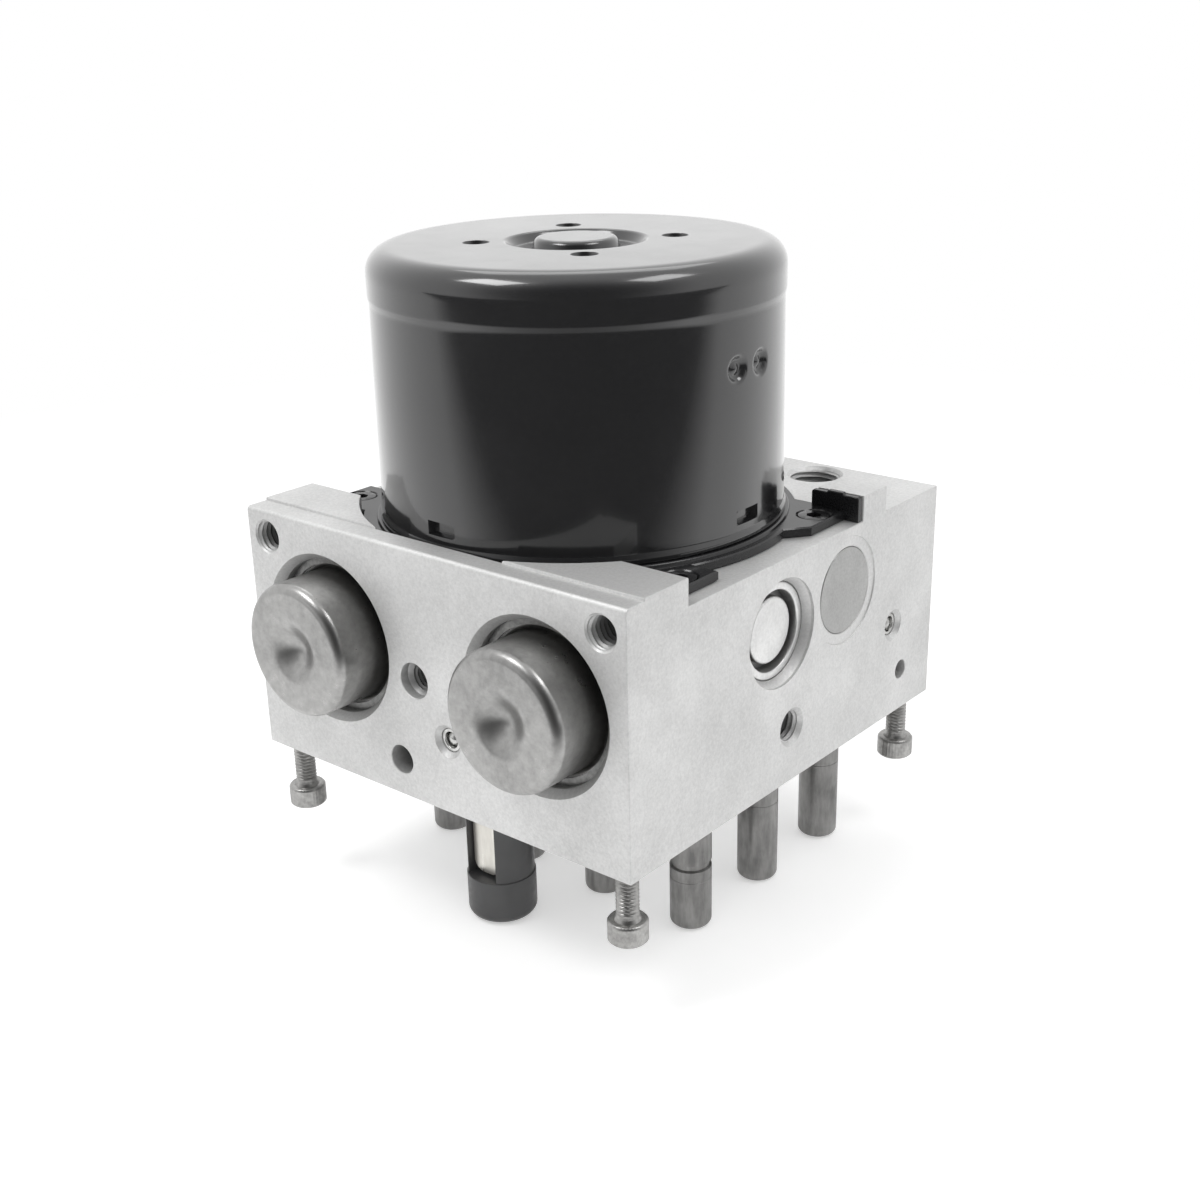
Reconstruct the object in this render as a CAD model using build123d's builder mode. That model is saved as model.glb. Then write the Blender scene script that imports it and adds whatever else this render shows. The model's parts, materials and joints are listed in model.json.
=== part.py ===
"""Hydraulic unit of an anti-lock brake system, with its pump motor, accumulators and valves.

Millimetres. +Z runs up along the motor's axis, and the front face with the two accumulators looks along -Y.
The origin lies under the middle of the whole unit, level with the ends of the valve stems and post.
Heights named in the block section are above the block's underside.
Depths along Y are behind its front face.
"""
from build123d import *
from math import cos, radians, sin
import os

# Clearances
seat_gap = 0.03          # round pieces that are pressed or staked in, on the radius
running_gap = 0.03       # shaft in its bearings
sliding_gap = 0.03       # pump piston in its sleeve
loose_gap = 0.15         # armatures and accumulator pistons
rest_gap = 0.3           # moving piece at rest to its stop
air_gap = 1.0            # rotor core to magnets

# Valve block
block_width = 89.0
block_depth = 96.0
block_height = 48.0
deck_drop = 4.8          # motor deck and rear ledge below the front land
front_land_depth = 15.8
step_width = 4.5
step_drop = 0.5
step_radius = 0.45
corner_land_width = 9.8
corner_land_length = 8.1
corner_land_back = 19.4
edge_bevel = 0.3
pocket_radius = 41.0

# Motor and pump axes
motor_axis_depth = 42.7
pump_height = 29.7

# Accumulators
accumulator_spacing = 49.8
accumulator_height = 26.0
accumulator_bore = 14.6
accumulator_mouth = 15.9
accumulator_mouth_depth = 1.6
accumulator_depth = 22.0
cup_proud = 8.2
cup_radius = 12.4
cup_wall = 1.4
cup_flange_depth = 4.2
cup_nose_radius = 1.7
dimple_radius = 6.2
dimple_depth = 2.6
ring_thickness = 1.3
ring_groove = 0.8
ring_overlap = 1.3
ring_opening_width = 6.0
ring_opening_depth = 4.0
accumulator_travel = 6.0
accumulator_piston_length = 7.0
seal_groove_depth = 1.8
seal_groove_length = 2.6
seal_side_gap = 0.1
seal_round = 0.7
spring_seat_gap = 0.85
spring_seat_depth = 3.0
accumulator_spring_radius = 9.6
accumulator_wire = 1.5
accumulator_turns = 4.5

# Side face: pump, damper, bracket hole, small plugs
pump_mouth_radius = 10.0
pump_mouth_depth = 1.9
pump_plug_radius = 8.9
pump_plug_length = 9.5
plug_rim_radius = 7.4
plug_disc_radius = 6.1
plug_groove_depth = 2.6
plug_disc_drop = 0.6
sleeve_radius = 7.0
sleeve_length = 19.0
sleeve_head = 3.0
outlet_radius = 1.2
piston_radius = 4.0
piston_length = 13.5
piston_guide_gap = 0.3
pump_spring_radius = 3.1
pump_wire = 0.8
pump_turns = 3.0
damper_gap = 0.4          # between the pump's mouth and the damper's ring
damper_height = 31.4
damper_radius = 8.1
damper_ring_radius = 10.2
damper_ring_drop = 0.25
damper_plug_thickness = 3.0
damper_chamber_radius = 5.0
damper_chamber_depth = 12.0
side_hole_depth_along = 46.2
left_hole_height = 15.0
right_hole_height = 10.6
side_plug_depth_along = 81.0
side_plug_height = 19.0
side_dowel_depth_along = 84.7
side_dowel_height = 8.5
side_dowel_radius = 1.9
side_dowel_depth = 5.0

# Bracket holes, ports and small holes
bracket_thread_radius = 3.0
bracket_mouth_radius = 3.7
bracket_hole_spacing = 78.8
bracket_hole_height = 42.5
front_hole_depth = 12.0
side_hole_depth = 9.0
port_radius = 5.0
port_mouth_radius = 5.6
port_depth = 14.0
port_depth_drop = 0.5     # each next port is this much shallower
port_mouth_angles = (36, 46, 60, 90)
port_pitch = 14.07
port_depth_along = 89.0
inlet_radius = 6.0
inlet_mouth_radius = 6.7
inlet_depth = 12.0
inlet_mouth_angles = (46, 82)
inlet_spacing = 28.1
inlet_height = 20.0
bleed_x = -3.0
bleed_height = 23.4
bleed_radius = 2.6
bleed_mouth_radius = 3.3
bleed_mouth_depth = 2.0
bleed_depth = 8.0
dowel_x = -7.5
dowel_height = 7.0
dowel_radius = 2.7
dowel_depth = 5.0
front_plug_x = 4.4
front_plug_height = 13.9
ball_plug_radius = 2.2
ball_plug_mouth = 3.1
ball_plug_length = 5.0
ball_plug_drop = 0.9
ball_radius = 1.5

# Valves
valve_edge_distance = 13.6
valve_column_pitch = 20.6
inlet_row = 34.2
outlet_row_front = 55.9
outlet_row_rear = 77.6
valve_bore = 5.0
valve_bore_depth = 12.0
valve_seat_bore = 3.2
valve_depth = 17.0
stem_radius = 3.9
stem_length = 28.5
stem_wall = 0.5
stem_nose_radius = 1.1
stem_collar_length = 7.6
stem_collar_step = 0.2
crimp_top = 8.3
crimp_width = 1.1
crimp_depth = 0.45
crimp_band = 3.3
armature_travel = 0.3
pole_drop = 4.0
valve_rod_radius = 0.9
valve_rod_gap = 0.3
valve_rod_reach = 9.0
valve_ring_drop = 0.3

# Screws for the electronic part
screw_inset = 4.3
screw_radius = 2.0
screw_head_radius = 3.5
screw_head_height = 4.0
screw_head_bevel = 0.35
screw_gap = 9.6
screw_engaged = 12.0
screw_socket = 3.0
screw_socket_depth = 2.0

# Connector post
post_radius = 6.5
post_shank_radius = 6.25
post_end_length = 8.7
post_depth_along = 16.2
post_nose_radius = 1.6
post_hole_gap = 0.1
terminal_width = 6.3
terminal_thickness = 0.9
terminal_drop = 2.6
terminal_end_gap = 0.5
terminal_slot_gap = 0.3

# Motor
can_radius = 37.0
can_neck_radius = 36.65
can_wall = 1.4
can_base_gap = 0.6       # height of the end plate's rim, under the can
can_step = 84.7
can_step_height = 0.8
can_top = 93.6
can_corner_radius = 4.0
can_bead = 0.35
can_bead_height = 1.0
recess_radius = 12.5
recess_slope = 1.3
recess_depth = 1.6
button_radius = 7.1
button_rise = 0.5
button_edge_radius = 1.1
top_mark_distance = 17.5
top_mark_radius = 2.4
side_mark_radius = 2.3
side_mark_depth = 0.8
side_mark_height = 75.5
side_mark_angles = (-4.4, 6.2)
base_slot_width = 5.6
base_slot_height = 2.3
base_slot_rise = 4.3

plate_thickness = 1.8
plate_side_clearance = 3.0
plate_waist_radius = 39.4
plate_front_tab = 11.7
plate_rear_tab = 12.3
plate_tab_slope = 4.0
plate_rim_inner = 35.2
plate_rim_radius = 37.9
pilot_radius = 12.3
pilot_length = 7.6
plate_gap = 0.3
plate_shaft_gap = 2.5
ear_thickness = 1.2
ear_width = 9.9
ear_rise = 4.7
ear_bump_width = 3.3
ear_bump_rise = 0.4
motor_screw_inset = 6.5
motor_screw_radius = 1.75
motor_screw_head = 3.0
motor_screw_socket = 2.5
motor_screw_socket_depth = 1.0
motor_screw_length = 5.5
seal_radius = 34.4
seal_section = 1.0

shaft_radius = 4.0
shaft_tail_radius = 3.0
shaft_bottom = 21.6
shaft_top = 91.4
eccentric_radius = 6.0
eccentric_offset = 1.2
eccentric_length = 9.0
eccentric_ring_radius = 9.5
chamber_radius = 12.0
chamber_floor = 20.8
bearing_width = 7.0
bearing_radius = 11.0
bearing_bottom = 36.0
bearing_race = 2.2
bearing_groove = 0.8
upper_bearing_radius = 8.0
upper_bearing_length = 6.0
upper_bearing_round = 1.4
retainer_sheet = 1.2
lug_drop = 0.7

magnet_inner = 29.4
magnet_thickness = 5.6
magnet_bottom = 60.0
magnet_height = 25.0
magnet_angle = 124.0
core_bottom = 63.0
core_height = 19.5
core_slots = 12
slot_bottom_radius = 15.0
slot_width = 6.0
slot_mouth = 2.4
tooth_tip = 1.8
winding_gap = 0.15
winding_bulge = 3.4
winding_inner = 9.6
commutator_radius = 10.5
commutator_length = 8.0
riser_radius = 11.8
riser_height = 1.2
segment_gap = 0.5
segment_depth = 0.7

holder_radius = 34.6
holder_thickness = 2.6
holder_bore = 13.2
brush_width = 6.0
brush_height = 4.6
brush_length = 10.0
brush_travel = 3.0
brush_box_wall = 1.2
brush_box_end = 29.0
brush_gap = 0.2
brush_spring_radius = 1.7
brush_wire = 0.5
brush_turns = 4.0

sides = (-1, 1)
side_names = {-1: "left", 1: "right"}

# Places that follow from the sizes
block_bottom = stem_length
block_top = block_bottom + block_height
deck_z = block_top - deck_drop
half_width = block_width / 2
front_y = (cup_proud - block_depth) / 2
rear_y = front_y + block_depth
motor_y = front_y + motor_axis_depth
land_y = front_y + front_land_depth
pump_z = block_bottom + pump_height
damper_depth = motor_axis_depth + pump_mouth_radius + damper_ring_radius + damper_gap
side_hole_heights = {-1: left_hole_height, 1: right_hole_height}
valve_column_outer = half_width - valve_edge_distance
valve_column_inner = valve_column_outer - valve_column_pitch
accumulator_x = accumulator_spacing / 2
accumulator_z = block_bottom + accumulator_height
post_y = front_y + post_depth_along
terminal_end = post_end_length + terminal_end_gap
plate_half = half_width - plate_side_clearance
plate_front_y = land_y + plate_gap
plate_rear_y = rear_y - corner_land_back - corner_land_length - plate_gap
plate_top_z = deck_z + plate_thickness
holder_z = plate_top_z
box_z = holder_z + holder_thickness
brush_z = box_z + brush_box_wall + brush_gap


def finish(name, builder):
    """Label a finished piece and write it."""
    builder.part.label = name
    export_step(builder.part, f"parts/{name}.step")


def front_face(x, height):
    """Place on the front face, with its normal out of the block."""
    return Plane(origin=(x, front_y, block_bottom + height), x_dir=(1, 0, 0), z_dir=(0, -1, 0))


def rear_face(x, height):
    return Plane(origin=(x, rear_y, block_bottom + height), x_dir=(-1, 0, 0), z_dir=(0, 1, 0))


def side_face(side, depth, height):
    return Plane(
        origin=(side * half_width, front_y + depth, block_bottom + height),
        x_dir=(0, side, 0), z_dir=(side, 0, 0))


def deck_face(x, y):
    return Plane(origin=(x, y, deck_z), x_dir=(1, 0, 0), z_dir=(0, 0, 1))


def under_face(x, y):
    return Plane(origin=(x, y, block_bottom), x_dir=(1, 0, 0), z_dir=(0, 0, -1))


def upright_section(x, y):
    """Half section of a piece turned about a vertical line: (radius, height)."""
    return Plane(origin=(x, y, 0), x_dir=(1, 0, 0), z_dir=(0, -1, 0))


def front_section(x):
    """Half section of a piece turned about an accumulator's line: (radius, depth behind the front face)."""
    return Plane(origin=(x, front_y, accumulator_z), x_dir=(0, 0, 1), z_dir=(-1, 0, 0))


def pump_section(side):
    """Half section of a piece turned about the pump's line: (radius, distance from the motor's axis)."""
    return Plane(origin=(0, motor_y, pump_z), x_dir=(0, 0, 1), z_dir=(0, side, 0))


def turn(section, *points, radii=None, mode=Mode.ADD):
    """Turn a closed outline of (radius, place along the line) about the section's own line."""
    with BuildSketch(section) as outline:
        with BuildLine():
            FilletPolyline(*points, radius=radii if radii else 0, close=True)
        make_face()
    revolve(outline.sketch, axis=Axis(section.origin, section.y_dir), mode=mode)


def coil(plane, radius, wire, length, turns):
    """Helical spring of square wire, closed to the given length along the plane's normal."""
    path = Helix(pitch=(length - wire) / turns, height=length - wire, radius=radius,
                 center=plane.from_local_coords((0, 0, wire / 2)), direction=plane.z_dir)
    start = Plane(origin=path @ 0, z_dir=path % 0)
    with BuildPart() as spring:
        with BuildSketch(start) as section:
            Rectangle(wire, wire)
        sweep(section.sketch, path=path, is_frenet=True)
    return spring


def valve_places():
    """Name, x and y of each valve: the front row of inlet valves, then the outlet valves behind it."""
    places = []
    front_row = [-valve_column_outer, -valve_column_inner, valve_column_inner, valve_column_outer]
    for number, x in enumerate(front_row, 1):
        places.append((f"inlet_valve_{number}", x, front_y + inlet_row))
    back_rows = [(x, row) for row in (outlet_row_front, outlet_row_rear)
                 for x in (-valve_column_outer, valve_column_outer)]
    for number, (x, row) in enumerate(back_rows, 1):
        places.append((f"outlet_valve_{number}", x, front_y + row))
    return places


def screw_places():
    return [(sx * (half_width - screw_inset), y) for sx in sides
            for y in (front_y + screw_inset, rear_y - screw_inset)]


def motor_screw_places():
    front = plate_front_y + plate_front_tab / 2
    rear = plate_rear_y - plate_rear_tab / 2
    return [(sx * (half_width - motor_screw_inset), y) for sx in sides for y in (front, rear)]


os.makedirs("parts", exist_ok=True)

# Valve block
with BuildPart() as hydraulic_block:
    with BuildSketch(Plane.XY.offset(block_bottom)):
        with Locations((0, (front_y + rear_y) / 2)):
            Rectangle(block_width, block_depth)
    extrude(amount=block_height)
    chamfer(hydraulic_block.edges().filter_by(Axis.Z), edge_bevel)
    # lower deck and rear ledge, round the two corner lands
    with BuildSketch(Plane.XY.offset(deck_z)):
        with Locations((0, land_y)):
            Rectangle(block_width, block_depth, align=(Align.CENTER, Align.MIN))
        with Locations(*[(sx * half_width, rear_y - corner_land_back) for sx in sides]):
            Rectangle(2 * corner_land_width, corner_land_length, align=(Align.CENTER, Align.MAX),
                      mode=Mode.SUBTRACT)
    extrude(amount=block_height, mode=Mode.SUBTRACT)
    # low step along the front edge
    with BuildSketch(Plane.XY.offset(block_top - step_drop)):
        with Locations((0, front_y)):
            Rectangle(block_width, 2 * step_width)
    extrude(amount=block_height, mode=Mode.SUBTRACT)
    fillet(hydraulic_block.edges().filter_by(Axis.X).group_by(Axis.Y)[0].sort_by(Axis.Z)[-1], step_radius)
    # motor pocket, cut off square at the step
    with BuildSketch(Plane.XY.offset(deck_z)):
        with Locations((0, motor_y)):
            Circle(pocket_radius)
        with Locations((0, front_y + step_width)):
            Rectangle(block_width, block_depth, align=(Align.CENTER, Align.MIN), mode=Mode.INTERSECT)
    extrude(amount=block_height, mode=Mode.SUBTRACT)
    # bearing pilot and eccentric chamber under the motor
    with Locations(deck_face(0, motor_y)):
        CounterBoreHole(chamber_radius, pilot_radius + seat_gap, pilot_length + rest_gap,
                        block_height - deck_drop - chamber_floor)
    with Locations(*[deck_face(x, y) for x, y in motor_screw_places()]):
        Hole(motor_screw_radius + seat_gap, motor_screw_length)
    # connector post, right through
    with Locations(deck_face(0, post_y)):
        Hole(post_shank_radius + post_hole_gap, block_height)
    # accumulators
    for x in (-accumulator_x, accumulator_x):
        turn(front_section(x), (0, accumulator_depth), (accumulator_bore, accumulator_depth),
             (accumulator_bore, accumulator_mouth_depth), (accumulator_mouth, 0), (accumulator_mouth, -1),
             (0, -1), mode=Mode.SUBTRACT)
        ring_front = cup_flange_depth - ring_thickness
        turn(front_section(x), (accumulator_bore - 1, ring_front),
             (accumulator_bore + ring_groove, ring_front),
             (accumulator_bore + ring_groove, cup_flange_depth), (accumulator_bore - 1, cup_flange_depth),
             mode=Mode.SUBTRACT)
    # pumps and dampers from both sides
    for side in sides:
        plug_seat = half_width - pump_mouth_depth - pump_plug_length
        turn(pump_section(side), (0, 0), (piston_radius + piston_guide_gap, 0),
             (piston_radius + piston_guide_gap, plug_seat - sleeve_length),
             (sleeve_radius + seat_gap, plug_seat - sleeve_length), (sleeve_radius + seat_gap, plug_seat),
             (pump_plug_radius + seat_gap, plug_seat),
             (pump_plug_radius + seat_gap, half_width - pump_mouth_depth),
             (pump_mouth_radius, half_width - 0.5), (pump_mouth_radius, half_width + 1), (0, half_width + 1),
             mode=Mode.SUBTRACT)
        with Locations(side_face(side, damper_depth, damper_height)):
            CounterBoreHole(damper_radius + seat_gap, damper_ring_radius, damper_ring_drop,
                            damper_ring_drop + damper_plug_thickness)
            Hole(damper_chamber_radius, damper_chamber_depth)
        with Locations(side_face(side, side_hole_depth_along, side_hole_heights[side])):
            CounterSinkHole(bracket_thread_radius, bracket_mouth_radius, side_hole_depth)
        with Locations(side_face(side, side_plug_depth_along, side_plug_height)):
            CounterSinkHole(ball_plug_radius + seat_gap, ball_plug_mouth, ball_plug_length + ball_plug_drop)
        with Locations(side_face(side, side_dowel_depth_along, side_dowel_height)):
            Hole(side_dowel_radius, side_dowel_depth)
    # holes of the front face
    with Locations(*[front_face(sx * bracket_hole_spacing / 2, bracket_hole_height) for sx in sides]):
        CounterSinkHole(bracket_thread_radius, bracket_thread_radius + 0.25, front_hole_depth)
    with Locations(front_face(bleed_x, bleed_height)):
        CounterBoreHole(bleed_radius, bleed_mouth_radius, bleed_mouth_depth, bleed_depth)
    with Locations(front_face(dowel_x, dowel_height)):
        Hole(dowel_radius, dowel_depth)
    with Locations(front_face(front_plug_x, front_plug_height)):
        CounterSinkHole(ball_plug_radius + seat_gap, ball_plug_mouth, ball_plug_length + ball_plug_drop)
    # fluid ports on the rear ledge and inlets on the rear face, each a little shallower than the last
    for number, angle in enumerate(port_mouth_angles):
        port_x = port_pitch * (number - (len(port_mouth_angles) - 1) / 2)
        with Locations(deck_face(port_x, front_y + port_depth_along)):
            CounterSinkHole(port_radius, port_mouth_radius, port_depth - number * port_depth_drop, angle)
    for number, (sx, angle) in enumerate(zip(sides, inlet_mouth_angles)):
        with Locations(rear_face(sx * inlet_spacing / 2, inlet_height)):
            CounterSinkHole(inlet_radius, inlet_mouth_radius, inlet_depth - number * port_depth_drop, angle)
    # valve bores and screw holes from below
    with Locations(*[under_face(x, y) for _, x, y in valve_places()]):
        CounterBoreHole(valve_seat_bore, valve_bore + seat_gap, valve_bore_depth, valve_depth)
    with Locations(*[under_face(x, y) for x, y in screw_places()]):
        Hole(screw_radius + seat_gap, screw_engaged)
finish("hydraulic_block", hydraulic_block)

# Motor can
can_inner = can_neck_radius - can_wall
can_top_z = block_bottom + can_top
can_base_z = plate_top_z + can_base_gap
can_step_z = block_bottom + can_step
recess_z = can_top_z - recess_depth
button_z = can_top_z + button_rise
with BuildPart() as motor_can:
    recess_inner = recess_radius - recess_slope
    turn(upright_section(0, motor_y),
         (can_inner, can_base_z), (can_radius + can_bead, can_base_z),
         (can_radius + can_bead, can_base_z + can_bead_height),
         (can_radius, can_base_z + 1.6 * can_bead_height),
         (can_neck_radius, can_step_z), (can_radius, can_step_z + can_step_height),
         (can_radius, can_top_z),
         (recess_radius, can_top_z), (recess_inner, recess_z), (button_radius + 0.8, recess_z),
         (button_radius, button_z), (0, button_z), (0, button_z - can_wall),
         (button_radius - can_wall, button_z - can_wall), (button_radius - can_wall, recess_z - can_wall),
         (recess_radius + can_wall / 2, recess_z - can_wall),
         (recess_radius + can_wall, can_top_z - can_wall),
         (can_inner, can_top_z - can_wall),
         radii=(0, 0, 0, 0, 0, 0, can_corner_radius, 0.8, 0.5, 0.4, button_edge_radius, 0, 0, 0, 0, 0, 0,
                can_corner_radius - can_wall))
    with Locations(Plane(origin=(0, motor_y, can_top_z), z_dir=(0, 0, 1))):
        with PolarLocations(top_mark_distance, 4, start_angle=45):
            Hole(top_mark_radius, 2 * can_wall)
    for turned in (0, 180):
        for angle in side_mark_angles:
            away = radians(angle + turned)
            outward = (cos(away), sin(away), 0)
            start = can_radius - side_mark_depth
            spot = Plane(
                origin=(start * outward[0], motor_y + start * outward[1], block_bottom + side_mark_height),
                z_dir=outward)
            with BuildSketch(spot) as mark:
                Circle(side_mark_radius)
            extrude(mark.sketch, amount=can_radius, mode=Mode.SUBTRACT)
    for angle in (0, 90, 180, 270):
        outward = (cos(radians(angle)), sin(radians(angle)), 0)
        spot = Plane(origin=(0, motor_y, can_base_z + base_slot_rise), z_dir=outward,
                     x_dir=(-outward[1], outward[0], 0))
        with BuildSketch(spot) as slot:
            Rectangle(base_slot_width, base_slot_height)
        extrude(slot.sketch, amount=2 * can_radius, mode=Mode.SUBTRACT)
finish("motor_can", motor_can)

# Motor end plate
with BuildSketch() as waist:
    with Locations((0, motor_y)):
        Circle(plate_waist_radius)
    with Locations((0, plate_front_y)):
        Rectangle(block_width, block_depth, align=(Align.CENTER, Align.MIN), mode=Mode.INTERSECT)
with BuildPart() as motor_end_plate:
    tab_end = plate_front_y + plate_front_tab
    tab_start = plate_rear_y - plate_rear_tab
    with BuildSketch(Plane.XY.offset(deck_z)):
        # the front part fills the pocket
        with Locations((0, motor_y)):
            Circle(pocket_radius - plate_gap)
        with Locations((0, tab_end)):
            Rectangle(block_width, tab_end - front_y - step_width - plate_gap,
                      align=(Align.CENTER, Align.MAX), mode=Mode.INTERSECT)
        add(waist.sketch)
        # tabs at the four corners
        with Locations((0, plate_front_y)):
            Rectangle(2 * plate_half, plate_front_tab, align=(Align.CENTER, Align.MIN))
        with BuildLine():
            slope_x = plate_half - 1.2 * plate_tab_slope
            slope_y = tab_start - plate_tab_slope
            Polyline((-plate_half, plate_rear_y), (-plate_half, tab_start), (-slope_x, slope_y),
                     (slope_x, slope_y), (plate_half, tab_start), (plate_half, plate_rear_y), close=True)
        make_face()
    extrude(amount=plate_thickness)
    # ears turned up in front of the corner lands
    rear_ear = Plane(origin=(0, plate_rear_y, deck_z), x_dir=(1, 0, 0), z_dir=(0, -1, 0))
    with BuildSketch(rear_ear) as ears:
        for sx in sides:
            ear_x = sx * (half_width - plate_gap - ear_width / 2)
            with Locations((ear_x, ear_rise / 2)):
                Rectangle(ear_width, ear_rise)
            with Locations((ear_x, (ear_rise + ear_bump_rise) / 2)):
                Rectangle(ear_bump_width, ear_rise + ear_bump_rise)
    extrude(ears.sketch, amount=ear_thickness)
    # upstand that carries the can, and the pilot that holds the lower bearing
    turn(upright_section(0, motor_y), (plate_rim_inner, plate_top_z), (plate_rim_radius, plate_top_z),
         (plate_rim_radius, can_base_z), (plate_rim_inner, can_base_z))
    with BuildSketch(Plane.XY.offset(deck_z - pilot_length)) as pilot:
        with Locations((0, motor_y)):
            Circle(pilot_radius)
    extrude(pilot.sketch, amount=pilot_length)
    bearing_bottom_z = block_bottom + bearing_bottom
    with BuildSketch(Plane.XY.offset(deck_z - pilot_length)) as bearing_seat:
        with Locations((0, motor_y)):
            Circle(bearing_radius + seat_gap)
    extrude(bearing_seat.sketch, amount=bearing_bottom_z + bearing_width - deck_z + pilot_length,
            mode=Mode.SUBTRACT)
    with Locations(Plane(origin=(0, motor_y, plate_top_z), z_dir=(0, 0, 1))):
        Hole(shaft_radius + plate_shaft_gap, 2 * pilot_length)
    with Locations(Plane(origin=(0, post_y, plate_top_z), z_dir=(0, 0, 1))):
        Hole(post_shank_radius + post_hole_gap, 2 * plate_thickness)
    with Locations(*[Plane(origin=(x, y, plate_top_z), z_dir=(0, 0, 1)) for x, y in motor_screw_places()]):
        CounterSinkHole(motor_screw_radius + seat_gap, motor_screw_head + seat_gap, 2 * plate_thickness, 90)
    turn(upright_section(0, motor_y), (seal_radius, deck_z), (seal_radius + seal_section, deck_z),
         (seal_radius + seal_section, deck_z + seal_section), (seal_radius, deck_z + seal_section),
         mode=Mode.SUBTRACT)
finish("motor_end_plate", motor_end_plate)

with BuildPart() as motor_seal:
    turn(upright_section(0, motor_y), (seal_radius + seat_gap, deck_z),
         (seal_radius + seal_section - seat_gap, deck_z),
         (seal_radius + seal_section - seat_gap, deck_z + seal_section - seat_gap),
         (seal_radius + seat_gap, deck_z + seal_section - seat_gap))
finish("motor_seal", motor_seal)

with BuildPart() as motor_screws:
    for x, y in motor_screw_places():
        turn(upright_section(x, y), (0, deck_z - motor_screw_length + 0.5),
             (motor_screw_radius, deck_z - motor_screw_length + 0.5),
             (motor_screw_radius, plate_top_z - motor_screw_head + motor_screw_radius),
             (motor_screw_head, plate_top_z), (0, plate_top_z))
        with BuildSketch(Plane.XY.offset(plate_top_z)) as socket:
            with Locations((x, y)):
                RegularPolygon(motor_screw_socket / 2, 6, major_radius=False)
        extrude(socket.sketch, amount=-motor_screw_socket_depth, mode=Mode.SUBTRACT)
finish("motor_screws", motor_screws)

# Bearings and the retainer of the upper one
with BuildPart() as lower_bearing:
    bearing_top_z = bearing_bottom_z + bearing_width
    inner_race = shaft_radius + bearing_race
    outer_race = bearing_radius - bearing_race
    turn(upright_section(0, motor_y), (shaft_radius + running_gap, bearing_bottom_z),
         (inner_race, bearing_bottom_z), (inner_race, bearing_bottom_z + bearing_groove),
         (outer_race, bearing_bottom_z + bearing_groove), (outer_race, bearing_bottom_z),
         (bearing_radius, bearing_bottom_z), (bearing_radius, bearing_top_z),
         (outer_race, bearing_top_z), (outer_race, bearing_top_z - bearing_groove),
         (inner_race, bearing_top_z - bearing_groove),
         (inner_race, bearing_top_z), (shaft_radius + running_gap, bearing_top_z))
finish("lower_bearing", lower_bearing)

upper_seat_z = recess_z - can_wall
with BuildPart() as upper_bearing:
    turn(upright_section(0, motor_y), (shaft_radius + running_gap, upper_seat_z - upper_bearing_length),
         (upper_bearing_radius, upper_seat_z - upper_bearing_length), (upper_bearing_radius, upper_seat_z),
         (shaft_radius + running_gap, upper_seat_z), radii=(0, upper_bearing_round, upper_bearing_round, 0))
finish("upper_bearing", upper_bearing)

with BuildPart() as bearing_retainer:
    hub_radius = upper_bearing_radius + seat_gap
    shoulder = recess_radius + can_wall + rest_gap
    rim_radius = top_mark_distance + 2 * top_mark_radius
    under_top_z = can_top_z - can_wall
    hub_top_z = upper_seat_z - retainer_sheet
    turn(upright_section(0, motor_y), (hub_radius, hub_top_z - retainer_sheet),
         (hub_radius + retainer_sheet, hub_top_z - retainer_sheet),
         (hub_radius + retainer_sheet, hub_top_z), (shoulder + retainer_sheet, hub_top_z),
         (shoulder + retainer_sheet, under_top_z - retainer_sheet),
         (rim_radius, under_top_z - retainer_sheet),
         (rim_radius, under_top_z), (shoulder, under_top_z), (shoulder, upper_seat_z),
         (hub_radius, upper_seat_z))
    with BuildSketch(Plane.XY.offset(under_top_z)) as lugs:
        with Locations((0, motor_y)):
            with PolarLocations(top_mark_distance, 4, start_angle=45):
                Circle(top_mark_radius - seat_gap)
    extrude(lugs.sketch, amount=can_wall - lug_drop)
finish("bearing_retainer", bearing_retainer)

# Field magnets
for name, middle in (("magnet_front", -90), ("magnet_rear", 90)):
    with BuildPart() as magnet:
        with BuildSketch(Plane.XY.offset(block_bottom + magnet_bottom)) as arc:
            with Locations((0, motor_y)):
                Circle(magnet_inner + magnet_thickness)
                Circle(magnet_inner, mode=Mode.SUBTRACT)
            with BuildLine():
                reach = 3 * can_radius
                ends = [(reach * cos(radians(middle + half)), motor_y + reach * sin(radians(middle + half)))
                        for half in (-magnet_angle / 2, 0, magnet_angle / 2)]
                Polyline((0, motor_y), *ends, close=True)
            make_face(mode=Mode.INTERSECT)
        extrude(amount=magnet_height)
    finish(name, magnet)

# Rotor
rest_angle = 90
eccentric_x = eccentric_offset * cos(radians(rest_angle))
eccentric_y = motor_y + eccentric_offset * sin(radians(rest_angle))
with BuildPart() as motor_shaft:
    journal_bottom = pump_z - eccentric_length / 2
    journal_top = pump_z + eccentric_length / 2
    turn(upright_section(0, motor_y), (0, block_bottom + shaft_bottom),
         (shaft_tail_radius, block_bottom + shaft_bottom), (shaft_tail_radius, journal_bottom),
         (shaft_radius, journal_bottom), (shaft_radius, block_bottom + shaft_top),
         (0, block_bottom + shaft_top))
    with BuildSketch(Plane.XY.offset(journal_bottom)) as journal:
        with Locations((eccentric_x, eccentric_y)):
            Circle(eccentric_radius)
    extrude(journal.sketch, amount=journal_top - journal_bottom)
finish("motor_shaft", motor_shaft)

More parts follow.
